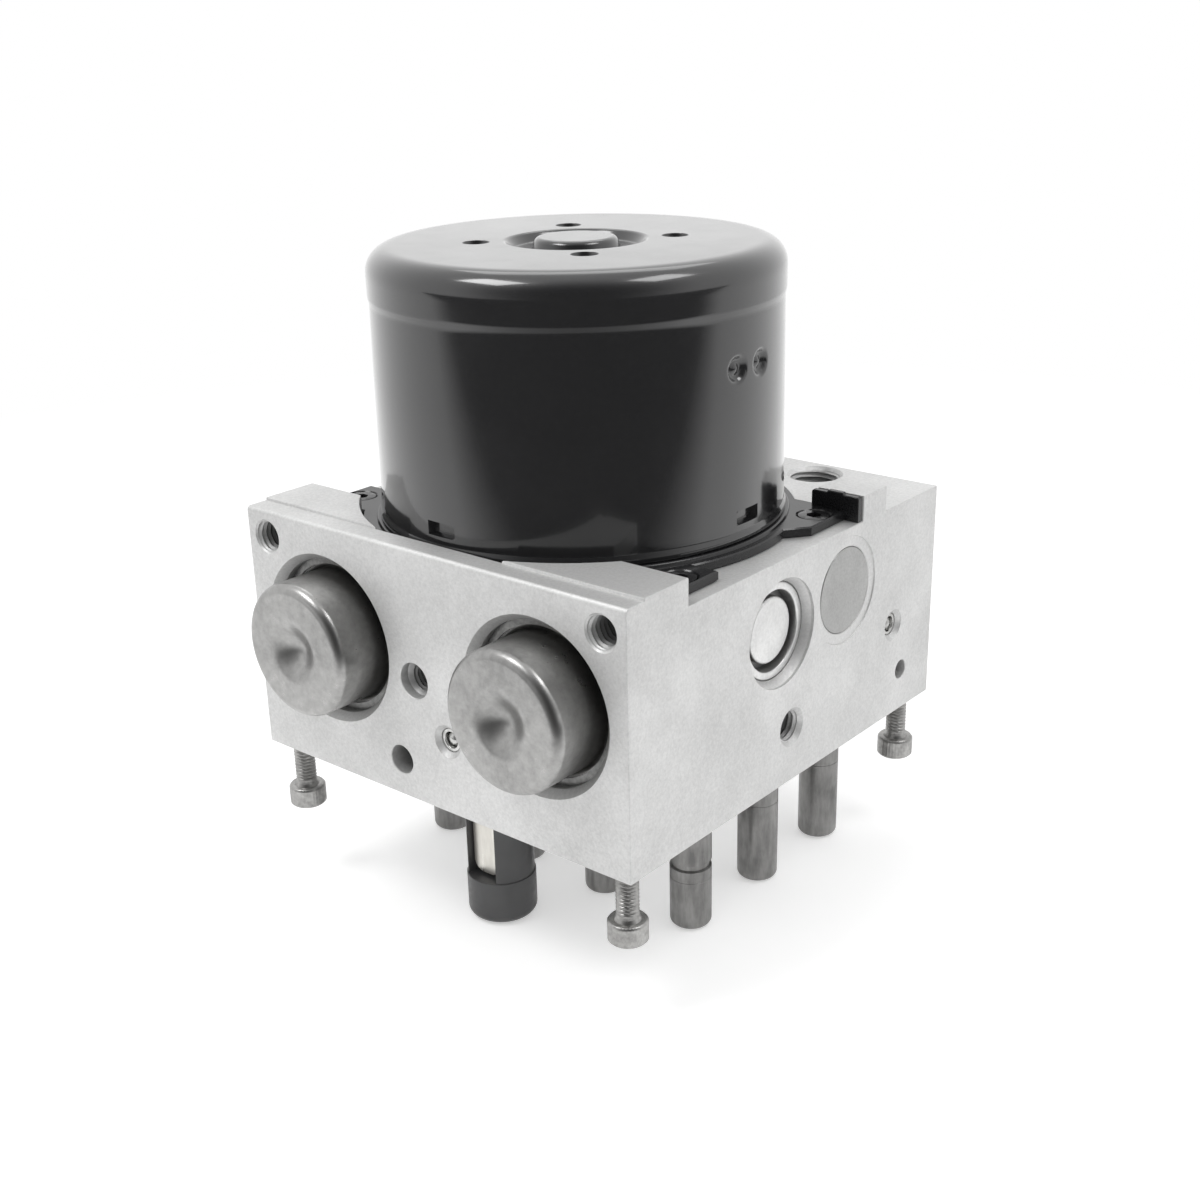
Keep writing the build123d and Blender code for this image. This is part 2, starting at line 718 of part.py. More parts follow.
with BuildPart() as eccentric_bearing:
    ring_half = eccentric_length / 2 - 0.4
    turn(upright_section(eccentric_x, eccentric_y), (eccentric_radius + running_gap, pump_z - ring_half),
         (eccentric_ring_radius, pump_z - ring_half), (eccentric_ring_radius, pump_z + ring_half),
         (eccentric_radius + running_gap, pump_z + ring_half), radii=(0, 0.5, 0.5, 0))
finish("eccentric_bearing", eccentric_bearing)

core_radius = magnet_inner - air_gap
core_z = block_bottom + core_bottom
with BuildPart() as rotor_core:
    with BuildSketch(Plane.XY.offset(core_z)):
        with Locations((0, motor_y)):
            Circle(core_radius)
            Circle(shaft_radius, mode=Mode.SUBTRACT)
            slot_length = core_radius - tooth_tip - slot_bottom_radius
            with PolarLocations(slot_bottom_radius + slot_length / 2, core_slots):
                RectangleRounded(slot_length, slot_width, slot_width / 2 - 0.2, mode=Mode.SUBTRACT)
            with PolarLocations(core_radius - tooth_tip, core_slots):
                Rectangle(3 * tooth_tip, slot_mouth, mode=Mode.SUBTRACT)
    extrude(amount=core_height)
finish("rotor_core", rotor_core)

with BuildPart() as rotor_windings:
    core_top_z = core_z + core_height
    with BuildSketch(Plane.XY.offset(core_z)):
        with Locations((0, motor_y)):
            fill_length = slot_length - 2 * winding_gap - 1.0
            with PolarLocations(slot_bottom_radius + winding_gap + fill_length / 2, core_slots):
                RectangleRounded(fill_length, slot_width - 2 * winding_gap, slot_width / 2 - 0.4)
    extrude(amount=core_height)
    winding_outer = slot_bottom_radius + fill_length
    for z, up in ((core_z, -1), (core_top_z, 1)):
        turn(upright_section(0, motor_y), (winding_inner, z), (winding_outer, z),
             (winding_outer, z + up * winding_bulge), (winding_inner, z + up * winding_bulge),
             radii=(0, 0, winding_bulge * 0.6, winding_bulge * 0.6))
finish("rotor_windings", rotor_windings)

commutator_z = brush_z
with BuildPart() as commutator:
    with BuildSketch(Plane.XY.offset(commutator_z)):
        with Locations((0, motor_y)):
            Circle(commutator_radius)
            Circle(shaft_radius, mode=Mode.SUBTRACT)
            with PolarLocations(commutator_radius, core_slots):
                Rectangle(2 * segment_depth, segment_gap, mode=Mode.SUBTRACT)
    extrude(amount=commutator_length)
    with BuildSketch(Plane.XY.offset(commutator_z + commutator_length)) as riser:
        with Locations((0, motor_y)):
            Circle(riser_radius)
            Circle(shaft_radius, mode=Mode.SUBTRACT)
    extrude(riser.sketch, amount=riser_height)
finish("commutator", commutator)

# Brush holder, brushes and their springs
brush_start = commutator_radius + brush_gap
box_start = brush_start + brush_travel
box_width = brush_width + 2 * (brush_gap + brush_box_wall)
box_height = brush_height + 2 * (brush_gap + brush_box_wall)
with BuildPart() as brush_holder:
    with BuildSketch(Plane.XY.offset(holder_z)):
        with Locations((0, motor_y)):
            Circle(holder_radius)
            Circle(holder_bore, mode=Mode.SUBTRACT)
        with Locations((0, post_y)):
            Rectangle(terminal_width + 1, 2 * post_radius, mode=Mode.SUBTRACT)
    extrude(amount=holder_thickness)
    for side in sides:
        middle = side * (box_start + brush_box_end) / 2
        with BuildSketch(Plane.XY.offset(box_z)) as box:
            with Locations((middle, motor_y)):
                Rectangle(brush_box_end - box_start, box_width)
        extrude(box.sketch, amount=box_height)
        with BuildSketch(Plane.XY.offset(box_z + brush_box_wall)) as channel:
            with Locations((middle - side * brush_box_wall, motor_y)):
                Rectangle(brush_box_end - box_start, brush_width + 2 * brush_gap)
        extrude(channel.sketch, amount=brush_height + 2 * brush_gap, mode=Mode.SUBTRACT)
finish("brush_holder", brush_holder)

for side in sides:
    with BuildPart() as brush:
        with BuildSketch(Plane.XY.offset(brush_z)) as face:
            with Locations((side * (brush_start + brush_length / 2), motor_y)):
                Rectangle(brush_length, brush_width)
        extrude(face.sketch, amount=brush_height)
    finish(f"brush_{side_names[side]}", brush)
    brush_end = brush_start + brush_length
    spring_plane = Plane(origin=(side * brush_end, motor_y, brush_z + brush_height / 2), z_dir=(side, 0, 0))
    spring_room = brush_box_end - brush_box_wall - brush_end
    finish(f"brush_spring_{side_names[side]}",
           coil(spring_plane, brush_spring_radius, brush_wire, spring_room, brush_turns))

# Connector post and its terminals
terminal_face = post_radius - terminal_drop
with BuildPart() as connector_post:
    turn(upright_section(0, post_y), (0, 0), (post_radius, 0), (post_radius, post_end_length),
         (post_shank_radius, post_end_length), (post_shank_radius, holder_z), (0, holder_z),
         radii=(0, post_nose_radius, 0, 0, 0, 0))
    for way in sides:
        with BuildSketch(Plane.XY.offset(post_end_length)) as slot:
            with Locations((0, post_y + way * (terminal_face - terminal_thickness + post_radius))):
                Rectangle(terminal_width + 2 * terminal_slot_gap, 2 * post_radius)
        extrude(slot.sketch, amount=block_top, mode=Mode.SUBTRACT)
finish("connector_post", connector_post)

with BuildPart() as motor_terminals:
    for way in sides:
        strip = Plane(origin=(0, post_y + way * (terminal_face - terminal_thickness), 0), x_dir=(1, 0, 0),
                      z_dir=(0, -1, 0))
        with BuildSketch(strip) as outline:
            with Locations((0, terminal_end)):
                Rectangle(terminal_width, plate_top_z + holder_thickness - terminal_end,
                          align=(Align.CENTER, Align.MIN))
            fillet(outline.vertices().group_by(Axis.Z)[0], terminal_width / 2 - 0.6)
        extrude(outline.sketch, amount=-way * terminal_thickness)
finish("motor_terminals", motor_terminals)

# Pumps
plug_seat = half_width - pump_mouth_depth - pump_plug_length
sleeve_inner_end = plug_seat - sleeve_length
piston_tip = eccentric_ring_radius + eccentric_offset + rest_gap
piston_end = piston_tip + piston_length
spring_stop = plug_seat - sleeve_head
for side in sides:
    section = pump_section(side)
    with BuildPart() as pump_sleeve:
        turn(section, (piston_radius + sliding_gap, sleeve_inner_end), (sleeve_radius, sleeve_inner_end),
             (sleeve_radius, plug_seat), (outlet_radius, plug_seat), (outlet_radius, spring_stop),
             (piston_radius + sliding_gap, spring_stop))
    finish(f"pump_sleeve_{side_names[side]}", pump_sleeve)
    with BuildPart() as pump_piston:
        turn(section, (0, piston_tip), (piston_radius, piston_tip), (piston_radius, piston_end),
             (0, piston_end), radii=(0, 0.6, 0, 0))
    finish(f"pump_piston_{side_names[side]}", pump_piston)
    spring_plane = Plane(origin=(side * piston_end, motor_y, pump_z), z_dir=(side, 0, 0))
    finish(f"pump_spring_{side_names[side]}",
           coil(spring_plane, pump_spring_radius, pump_wire, spring_stop - piston_end, pump_turns))
    with BuildPart() as pump_plug:
        face = half_width - pump_mouth_depth
        turn(section, (0, plug_seat), (pump_plug_radius, plug_seat), (pump_plug_radius, face),
             (plug_rim_radius, face), (plug_rim_radius, face - plug_groove_depth),
             (plug_disc_radius, face - plug_groove_depth), (plug_disc_radius, face - plug_disc_drop),
             (0, face - plug_disc_drop), radii=(0, 0, 0.4, 0.3, 0, 0, 0.5, 0))
    finish(f"pump_plug_{side_names[side]}", pump_plug)
    with BuildPart() as damper_plug:
        with BuildSketch(side_face(side, damper_depth, damper_height).offset(-damper_ring_drop)) as disc:
            Circle(damper_radius)
        extrude(disc.sketch, amount=-damper_plug_thickness)
    finish(f"damper_plug_{side_names[side]}", damper_plug)

# Accumulators
piston_rest = accumulator_depth - rest_gap
piston_front = piston_rest - accumulator_piston_length
for side in sides:
    section = front_section(side * accumulator_x)
    name = side_names[side]
    with BuildPart() as accumulator_cup:
        flange_radius = accumulator_bore - seat_gap
        inner_radius = cup_radius - cup_wall
        inside = cup_wall - cup_proud
        flat_radius = 0.42 * dimple_radius
        turn(section, (inner_radius, cup_flange_depth + cup_wall),
             (flange_radius, cup_flange_depth + cup_wall),
             (flange_radius, cup_flange_depth), (cup_radius, cup_flange_depth), (cup_radius, -cup_proud),
             (dimple_radius, -cup_proud), (flat_radius, dimple_depth - cup_proud),
             (0, dimple_depth - cup_proud), (0, dimple_depth + inside), (flat_radius, dimple_depth + inside),
             (dimple_radius, inside), (inner_radius, inside),
             radii=(0, 0, 0, 0.6, cup_nose_radius, 1.4, 1.2, 0, 0, 1.2, 1.4, 0.6))
    finish(f"accumulator_cup_{name}", accumulator_cup)
    with BuildPart() as accumulator_piston:
        piston_radius_large = accumulator_bore - loose_gap
        groove_radius = piston_radius_large - seal_groove_depth
        seal_mid = piston_rest - accumulator_piston_length / 2
        groove_half = seal_groove_length / 2
        seat_radius = accumulator_spring_radius + accumulator_wire / 2 + spring_seat_gap
        turn(section, (0, piston_rest), (piston_radius_large, piston_rest),
             (piston_radius_large, seal_mid + groove_half), (groove_radius, seal_mid + groove_half),
             (groove_radius, seal_mid - groove_half),
             (piston_radius_large, seal_mid - groove_half), (piston_radius_large, piston_front),
             (seat_radius, piston_front), (seat_radius, piston_front + spring_seat_depth),
             (0, piston_front + spring_seat_depth))
    finish(f"accumulator_piston_{name}", accumulator_piston)
    with BuildPart() as accumulator_seal:
        seal_half = groove_half - seal_side_gap
        seal_radius_large = accumulator_bore - sliding_gap
        turn(section, (groove_radius, seal_mid + seal_half), (seal_radius_large, seal_mid + seal_half),
             (seal_radius_large, seal_mid - seal_half), (groove_radius, seal_mid - seal_half),
             radii=(0, seal_round, seal_round, 0))
    finish(f"accumulator_seal_{name}", accumulator_seal)
    spring_seat = front_y + piston_front + spring_seat_depth
    spring_plane = Plane(origin=(side * accumulator_x, spring_seat, accumulator_z), z_dir=(0, -1, 0))
    spring_room = piston_front + spring_seat_depth - inside
    finish(f"accumulator_spring_{name}",
           coil(spring_plane, accumulator_spring_radius, accumulator_wire, spring_room, accumulator_turns))

with BuildPart() as accumulator_rings:
    for side in sides:
        outer = accumulator_bore + ring_groove - seat_gap
        seat = front_face(side * accumulator_x, accumulator_height)
        with BuildSketch(seat.offset(ring_thickness - cup_flange_depth)) as ring:
            Circle(outer)
            Circle(accumulator_bore - ring_overlap, mode=Mode.SUBTRACT)
            with Locations((0, -accumulator_bore)):
                Rectangle(ring_opening_width, 2 * ring_opening_depth, mode=Mode.SUBTRACT)
        extrude(ring.sketch, amount=-ring_thickness)
finish("accumulator_rings", accumulator_rings)

# Ball plugs of the drillings
with BuildPart() as ball_plugs:
    mouths = [front_face(front_plug_x, front_plug_height)]
    mouths += [side_face(side, side_plug_depth_along, side_plug_height) for side in sides]
    for mouth in mouths:
        top = mouth.offset(-ball_plug_drop)
        with BuildSketch(top) as sleeve:
            Circle(ball_plug_radius)
        extrude(sleeve.sketch, amount=-ball_plug_length)
        with BuildSketch(top) as pit:
            Circle(ball_radius)
        extrude(pit.sketch, amount=-ball_radius, mode=Mode.SUBTRACT)
        with Locations(top.offset(-ball_radius)):
            Sphere(ball_radius - 0.02)
finish("ball_plugs", ball_plugs)

# Valves
for name, x, y in valve_places():
    section = upright_section(x, y)
    tube_inner = stem_radius - stem_wall
    stem_floor = stem_wall + 0.3
    pole_z = block_bottom - pole_drop
    with BuildPart() as valve:
        seat_z = block_bottom + valve_depth
        shoulder_z = block_bottom + valve_bore_depth
        turn(section, (0, 0), (stem_radius, 0), (stem_radius, block_bottom - stem_collar_length),
             (stem_radius + stem_collar_step, block_bottom - stem_collar_length),
             (stem_radius + stem_collar_step, block_bottom + valve_ring_drop),
             (valve_bore, block_bottom + valve_ring_drop), (valve_bore, shoulder_z),
             (valve_seat_bore - seat_gap, shoulder_z), (valve_seat_bore - seat_gap, seat_z), (0, seat_z),
             radii=(0, stem_nose_radius, 0, 0, 0, 0.4, 0, 0, 0.5, 0))
        if name.startswith("inlet"):
            turn(section, (stem_radius - crimp_depth, block_bottom - crimp_top - crimp_width),
                 (stem_radius + 1, block_bottom - crimp_top - crimp_width),
                 (stem_radius + 1, block_bottom - crimp_top),
                 (stem_radius - crimp_depth, block_bottom - crimp_top), mode=Mode.SUBTRACT)
        turn(section, (0, stem_floor), (tube_inner, stem_floor), (tube_inner, pole_z), (0, pole_z),
             radii=(0, stem_nose_radius - stem_wall, 0, 0), mode=Mode.SUBTRACT)
        turn(section, (0, pole_z), (valve_rod_radius + valve_rod_gap, pole_z),
             (valve_rod_radius + valve_rod_gap, block_bottom + valve_rod_reach + 1.5),
             (0, block_bottom + valve_rod_reach + 1.5), mode=Mode.SUBTRACT)
    finish(name, valve)
    with BuildPart() as armature:
        armature_top = pole_z - armature_travel - rest_gap
        armature_bottom = stem_floor + armature_travel + rest_gap
        turn(section, (0, armature_bottom), (tube_inner - loose_gap, armature_bottom),
             (tube_inner - loose_gap, armature_top), (valve_rod_radius, armature_top),
             (valve_rod_radius, block_bottom + valve_rod_reach), (0, block_bottom + valve_rod_reach),
             radii=(0, 0.6, 0.4, 0, 0.3, 0))
    finish(name.replace("valve", "armature"), armature)

# Screws left in the block for the electronic part
with BuildPart() as ecu_screws:
    for x, y in screw_places():
        head_top = block_bottom - screw_gap
        turn(upright_section(x, y), (0, head_top - screw_head_height),
             (screw_head_radius, head_top - screw_head_height),
             (screw_head_radius, head_top), (screw_radius, head_top),
             (screw_radius, block_bottom + screw_engaged - 0.5), (0, block_bottom + screw_engaged - 0.5),
             radii=(0, screw_head_bevel, screw_head_bevel, 0, 0, 0))
        with BuildSketch(Plane.XY.offset(head_top - screw_head_height)) as socket:
            with Locations((x, y)):
                RegularPolygon(screw_socket / 2, 6, major_radius=False)
        extrude(socket.sketch, amount=screw_socket_depth, mode=Mode.SUBTRACT)
finish("ecu_screws", ecu_screws)
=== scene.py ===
import bpy
import bmesh
import json
from math import atan2, cos, hypot, pi, radians, sin, sqrt, tan
from mathutils import Matrix, Vector
from mathutils.geometry import delaunay_2d_cdt


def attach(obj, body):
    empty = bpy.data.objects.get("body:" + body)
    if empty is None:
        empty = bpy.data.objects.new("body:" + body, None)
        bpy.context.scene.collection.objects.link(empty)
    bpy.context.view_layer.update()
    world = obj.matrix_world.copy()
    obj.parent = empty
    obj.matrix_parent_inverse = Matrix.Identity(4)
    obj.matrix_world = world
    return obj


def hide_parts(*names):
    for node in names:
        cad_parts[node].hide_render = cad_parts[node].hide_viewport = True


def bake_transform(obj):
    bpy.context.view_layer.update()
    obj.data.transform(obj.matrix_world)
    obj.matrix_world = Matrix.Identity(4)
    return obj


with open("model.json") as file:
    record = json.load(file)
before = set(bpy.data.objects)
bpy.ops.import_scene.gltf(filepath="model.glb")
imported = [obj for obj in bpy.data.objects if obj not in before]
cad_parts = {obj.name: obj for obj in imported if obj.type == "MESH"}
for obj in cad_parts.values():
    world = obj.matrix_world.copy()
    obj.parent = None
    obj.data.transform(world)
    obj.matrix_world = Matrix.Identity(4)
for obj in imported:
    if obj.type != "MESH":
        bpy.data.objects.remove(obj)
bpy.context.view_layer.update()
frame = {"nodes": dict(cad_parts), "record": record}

MM = 0.001
SIDES = (-1, 1)
SIDE_NAMES = {-1: "left", 1: "right"}

# Block, as in the part's own sizes, in millimetres
HALF_W, FRONT, REAR = 44.5, -43.9, 52.1
BOTTOM, DECK, TOP = 28.5, 71.7, 76.5
STEP_Y, STEP_Z, STEP_ROUND = FRONT + 4.5, TOP - 0.5, 0.8
LAND = FRONT + 15.8
CORNER_X, CORNER_REAR, CORNER_FRONT = 34.7, 32.7, 24.6
POCKET = 41.0
MOTOR_Y = -1.2
PUMP_Z = BOTTOM + 29.7
ACC_X, ACC_Z = 24.9, BOTTOM + 26.0
POST_Y = FRONT + 16.2
PLATE_TOP = DECK + 1.8
BEVEL = 0.35


def v_mm(*p):
    return Vector(p) * MM


# Node materials
class Shader:
    """A principled material whose nodes are added by name, one call each."""

    def __init__(self, name, color, metallic=0.0, roughness=0.5, **sockets):
        self.mat = bpy.data.materials.new(name)
        self.mat.use_nodes = True
        self.tree = self.mat.node_tree
        self.bsdf = self.tree.nodes["Principled BSDF"]
        self.bsdf.inputs["Base Color"].default_value = (*color, 1)
        self.bsdf.inputs["Metallic"].default_value = metallic
        self.bsdf.inputs["Roughness"].default_value = roughness
        for socket, value in sockets.items():
            self.bsdf.inputs[socket.replace("_", " ")].default_value = value
        self.coords = self.node("ShaderNodeTexCoord").outputs["Object"]
        self.mat.diffuse_color = (*color, 1)

    def node(self, kind, settings=None, **inputs):
        node = self.tree.nodes.new(kind)
        for key, value in (settings or {}).items():
            setattr(node, key, value)
        for key, value in inputs.items():
            socket = node.inputs[key.replace("_", " ")]
            if isinstance(value, bpy.types.NodeSocket):
                self.tree.links.new(value, socket)
            else:
                socket.default_value = value
        return node

    def link(self, source, target):
        self.tree.links.new(source, self.bsdf.inputs[target])

    def stretched(self, scale):
        return self.node("ShaderNodeMapping", Vector=self.coords, Scale=scale).outputs["Vector"]

    def noise(self, scale, detail=3.0, rough=0.5, stretch=None):
        vector = self.stretched(stretch) if stretch else self.coords
        return self.node("ShaderNodeTexNoise", Vector=vector, Scale=scale, Detail=detail,
                         Roughness=rough).outputs["Fac"]

    def spread(self, value, low, high, start, end):
        """Map value from start..end to low..high, clamped."""
        node = self.node("ShaderNodeMapRange")
        self.tree.links.new(value, node.inputs["Value"])
        for socket, number in (("From Min", start), ("From Max", end), ("To Min", low), ("To Max", high)):
            node.inputs[socket].default_value = number
        return node.outputs["Result"]

    def math(self, operation, a, b=0.0, c=0.0):
        node = self.tree.nodes.new("ShaderNodeMath")
        node.operation = operation
        for socket, value in zip(node.inputs, (a, b, c)):
            if isinstance(value, (int, float)):
                socket.default_value = value
            else:
                self.tree.links.new(value, socket)
        return node.outputs[0]

    def mix(self, factor, a, b):
        node = self.tree.nodes.new("ShaderNodeMix")
        node.data_type = "RGBA"
        if isinstance(factor, (int, float)):
            node.inputs[0].default_value = factor
        else:
            self.tree.links.new(factor, node.inputs[0])
        for socket, value in ((node.inputs[6], a), (node.inputs[7], b)):
            if isinstance(value, tuple):
                socket.default_value = (*value, 1)
            else:
                self.tree.links.new(value, socket)
        return node.outputs[2]

    def bump(self, height, distance, strength=1.0, normal=None):
        node = self.node("ShaderNodeBump", Height=height, Distance=distance, Strength=strength)
        if normal is not None:
            self.tree.links.new(normal, node.inputs["Normal"])
        self.link(node.outputs["Normal"], "Normal")
        return node.outputs["Normal"]


def metal(name, light, dark, roughness, speck=1400, blotch=60, rough_swing=0.1, bump_mm=0.004, brush=None,
          metallic=1.0, bore_shade_tone=None):
    """A bare metal: fine specks and slow blotches in colour and roughness, a fine bump, and painted shade in
    its bores.
    """
    s = Shader(name, light, metallic, roughness)
    specks = s.noise(speck, 4, 0.65, brush)
    blotches = s.noise(blotch, 3, 0.6)
    tone = s.math("MULTIPLY_ADD", specks, 0.55, s.math("MULTIPLY", blotches, 0.45))
    color = s.mix(s.spread(tone, 0, 1, 0.36, 0.64), dark, light)
    # painted shade: the colour darkens towards the given dark tone deep inside bores, where shade falls
    if bore_shade_tone:
        bore = s.node("ShaderNodeAttribute", {"attribute_name": "bore"}).outputs["Fac"]
        color = s.mix(bore, color, bore_shade_tone)
    s.link(color, "Base Color")
    s.link(s.spread(tone, roughness + rough_swing, roughness - rough_swing, 0.35, 0.65), "Roughness")
    s.bump(specks, bump_mm * MM)
    return s.mat


def paint(name, color, roughness, coat=0.0, peel=180, bump_mm=0.006, dust=0.03):
    """Glossy or satin paint with slight waviness, fine dust and uneven gloss."""
    s = Shader(name, color, 0.0, roughness, Coat_Weight=coat, Coat_Roughness=0.08)
    wave = s.noise(peel, 2, 0.5)
    fine = s.noise(2600, 3, 0.6)
    blotches = s.noise(45, 4, 0.6)
    pale = tuple(min(1, c + dust) for c in color)
    s.link(s.mix(s.spread(fine, 0, 1, 0.5, 0.8), color, pale), "Base Color")
    s.link(s.spread(blotches, roughness * 0.8, roughness * 1.35, 0.35, 0.65), "Roughness")
    first = s.bump(wave, bump_mm * MM, 0.6)
    s.bump(fine, 0.002 * MM, 0.5, first)
    return s.mat


def plastic(name, color, roughness, grain=900, bump_mm=0.01):
    s = Shader(name, color, 0.0, roughness)
    grains = s.noise(grain, 4, 0.6)
    slow = s.noise(70, 3, 0.5)
    pale = tuple(min(1, c * 1.5 + 0.01) for c in color)
    s.link(s.mix(s.spread(slow, 0, 1, 0.35, 0.7), color, pale), "Base Color")
    s.link(s.spread(grains, roughness - 0.08, roughness + 0.1, 0.35, 0.65), "Roughness")
    s.bump(grains, bump_mm * MM)
    return s.mat


MATS = {
    # block_aluminium and plug_aluminium take a dark tone as painted shade inside their bores
    "block_aluminium": metal("block_aluminium", (0.80, 0.80, 0.795), (0.66, 0.66, 0.655), 0.56, 1900, 55,
                             0.07, 0.012, metallic=0.6, bore_shade_tone=(0.24, 0.24, 0.24)),
    "can_black": paint("can_black", (0.016, 0.016, 0.017), 0.2, 1.0, 140, 0.004, 0.01),
    "plate_black": paint("plate_black", (0.014, 0.014, 0.015), 0.2, 0.0, 200, 0.006, 0.02),
    "cup_steel": metal("cup_steel", (0.43, 0.427, 0.42), (0.31, 0.308, 0.303), 0.32, 700, 70, 0.06, 0.002),
    "plug_steel": metal("plug_steel", (0.60, 0.60, 0.59), (0.42, 0.42, 0.41), 0.28, 1200, 200, 0.06),
    "plug_aluminium": metal("plug_aluminium", (0.80, 0.80, 0.795), (0.67, 0.67, 0.665), 0.42, 1500, 150, 0.06,
                            bore_shade_tone=(0.2, 0.2, 0.2)),
    "damper_aluminium": metal("damper_aluminium", (0.44, 0.44, 0.435), (0.36, 0.36, 0.355), 0.42, 2200, 90,
                              0.05),
    "stem_steel": metal("stem_steel", (0.30, 0.297, 0.29), (0.17, 0.168, 0.165), 0.36, 700, 160, 0.08, 0.006,
                        (1, 1, 0.2)),
    "screw_zinc": metal("screw_zinc", (0.46, 0.455, 0.445), (0.28, 0.277, 0.27), 0.38, 1300, 260, 0.08),
    "ring_steel": metal("ring_steel", (0.22, 0.22, 0.215), (0.12, 0.12, 0.118), 0.35, 1200, 200, 0.08),
    "post_plastic": plastic("post_plastic", (0.055, 0.055, 0.056), 0.38),
    "holder_plastic": plastic("holder_plastic", (0.04, 0.04, 0.042), 0.45),
    "terminal_tin": metal("terminal_tin", (0.80, 0.78, 0.73), (0.64, 0.62, 0.57), 0.33, 900, 120, 0.07, 0.005,
                          (1, 1, 0.15)),
    "rubber": plastic("rubber", (0.012, 0.012, 0.012), 0.62, 600),
    "bearing_steel": metal("bearing_steel", (0.58, 0.58, 0.58), (0.46, 0.46, 0.46), 0.24, 1200, 90, 0.05),
    "shaft_steel": metal("shaft_steel", (0.60, 0.60, 0.60), (0.48, 0.48, 0.48), 0.22, 1500, 90, 0.05, 0.003,
                         (1, 1, 6)),
    "core_steel": metal("core_steel", (0.34, 0.34, 0.34), (0.22, 0.22, 0.22), 0.42, 300, 60, 0.08, 0.03,
                        (0.2, 0.2, 12)),
    "copper": metal("copper", (0.66, 0.30, 0.16), (0.42, 0.17, 0.09), 0.35, 500, 90, 0.08, 0.03,
                    (0.3, 0.3, 3)),
    "segment_copper": metal("segment_copper", (0.76, 0.42, 0.27), (0.55, 0.29, 0.18), 0.3, 900, 90, 0.06,
                            0.005, (1, 1, 8)),
    "magnet_ferrite": plastic("magnet_ferrite", (0.03, 0.03, 0.031), 0.5, 500, 0.02),
    "carbon": plastic("carbon", (0.02, 0.02, 0.02), 0.5, 900, 0.01),
    "spring_steel": metal("spring_steel", (0.46, 0.46, 0.46), (0.33, 0.33, 0.33), 0.3, 1200, 200, 0.06),
}

node_slots = {s["node"]: s["material_slot"] for s in frame["record"]["subparts"]}
for node_name, obj in frame["nodes"].items():
    obj.data.materials.clear()
    obj.data.materials.append(MATS[node_slots[node_name]])


# Mesh tools
def rounded(points, radii, steps=6):
    """An open outline with its corners rounded, as a list of points."""
    out = []
    for i, p in enumerate(points):
        r = radii[i] if i < len(radii) else 0
        if r <= 0 or i in (0, len(points) - 1):
            out.append(tuple(p))
            continue
        a, b, c = Vector(points[i - 1]), Vector(p), Vector(points[i + 1])
        u, w = (a - b).normalized(), (c - b).normalized()
        half = u.angle(w) / 2
        cut = r / tan(half)
        centre = b + (u + w).normalized() * r / sin(half)
        start, end = b + u * cut - centre, b + w * cut - centre
        turn = start.angle_signed(end)
        for k in range(steps + 1):
            a_k = -turn * k / steps
            out.append((centre.x + start.x * cos(a_k) - start.y * sin(a_k),
                        centre.y + start.x * sin(a_k) + start.y * cos(a_k)))
    return out


def axes(direction):
    """Two directions across the given one, the same each time."""
    d = Vector(direction).normalized()
    side = Vector((0, 0, 1)) if abs(d.z) < 0.9 else Vector((1, 0, 0))
    u = side.cross(d).normalized()
    return u, d.cross(u), d


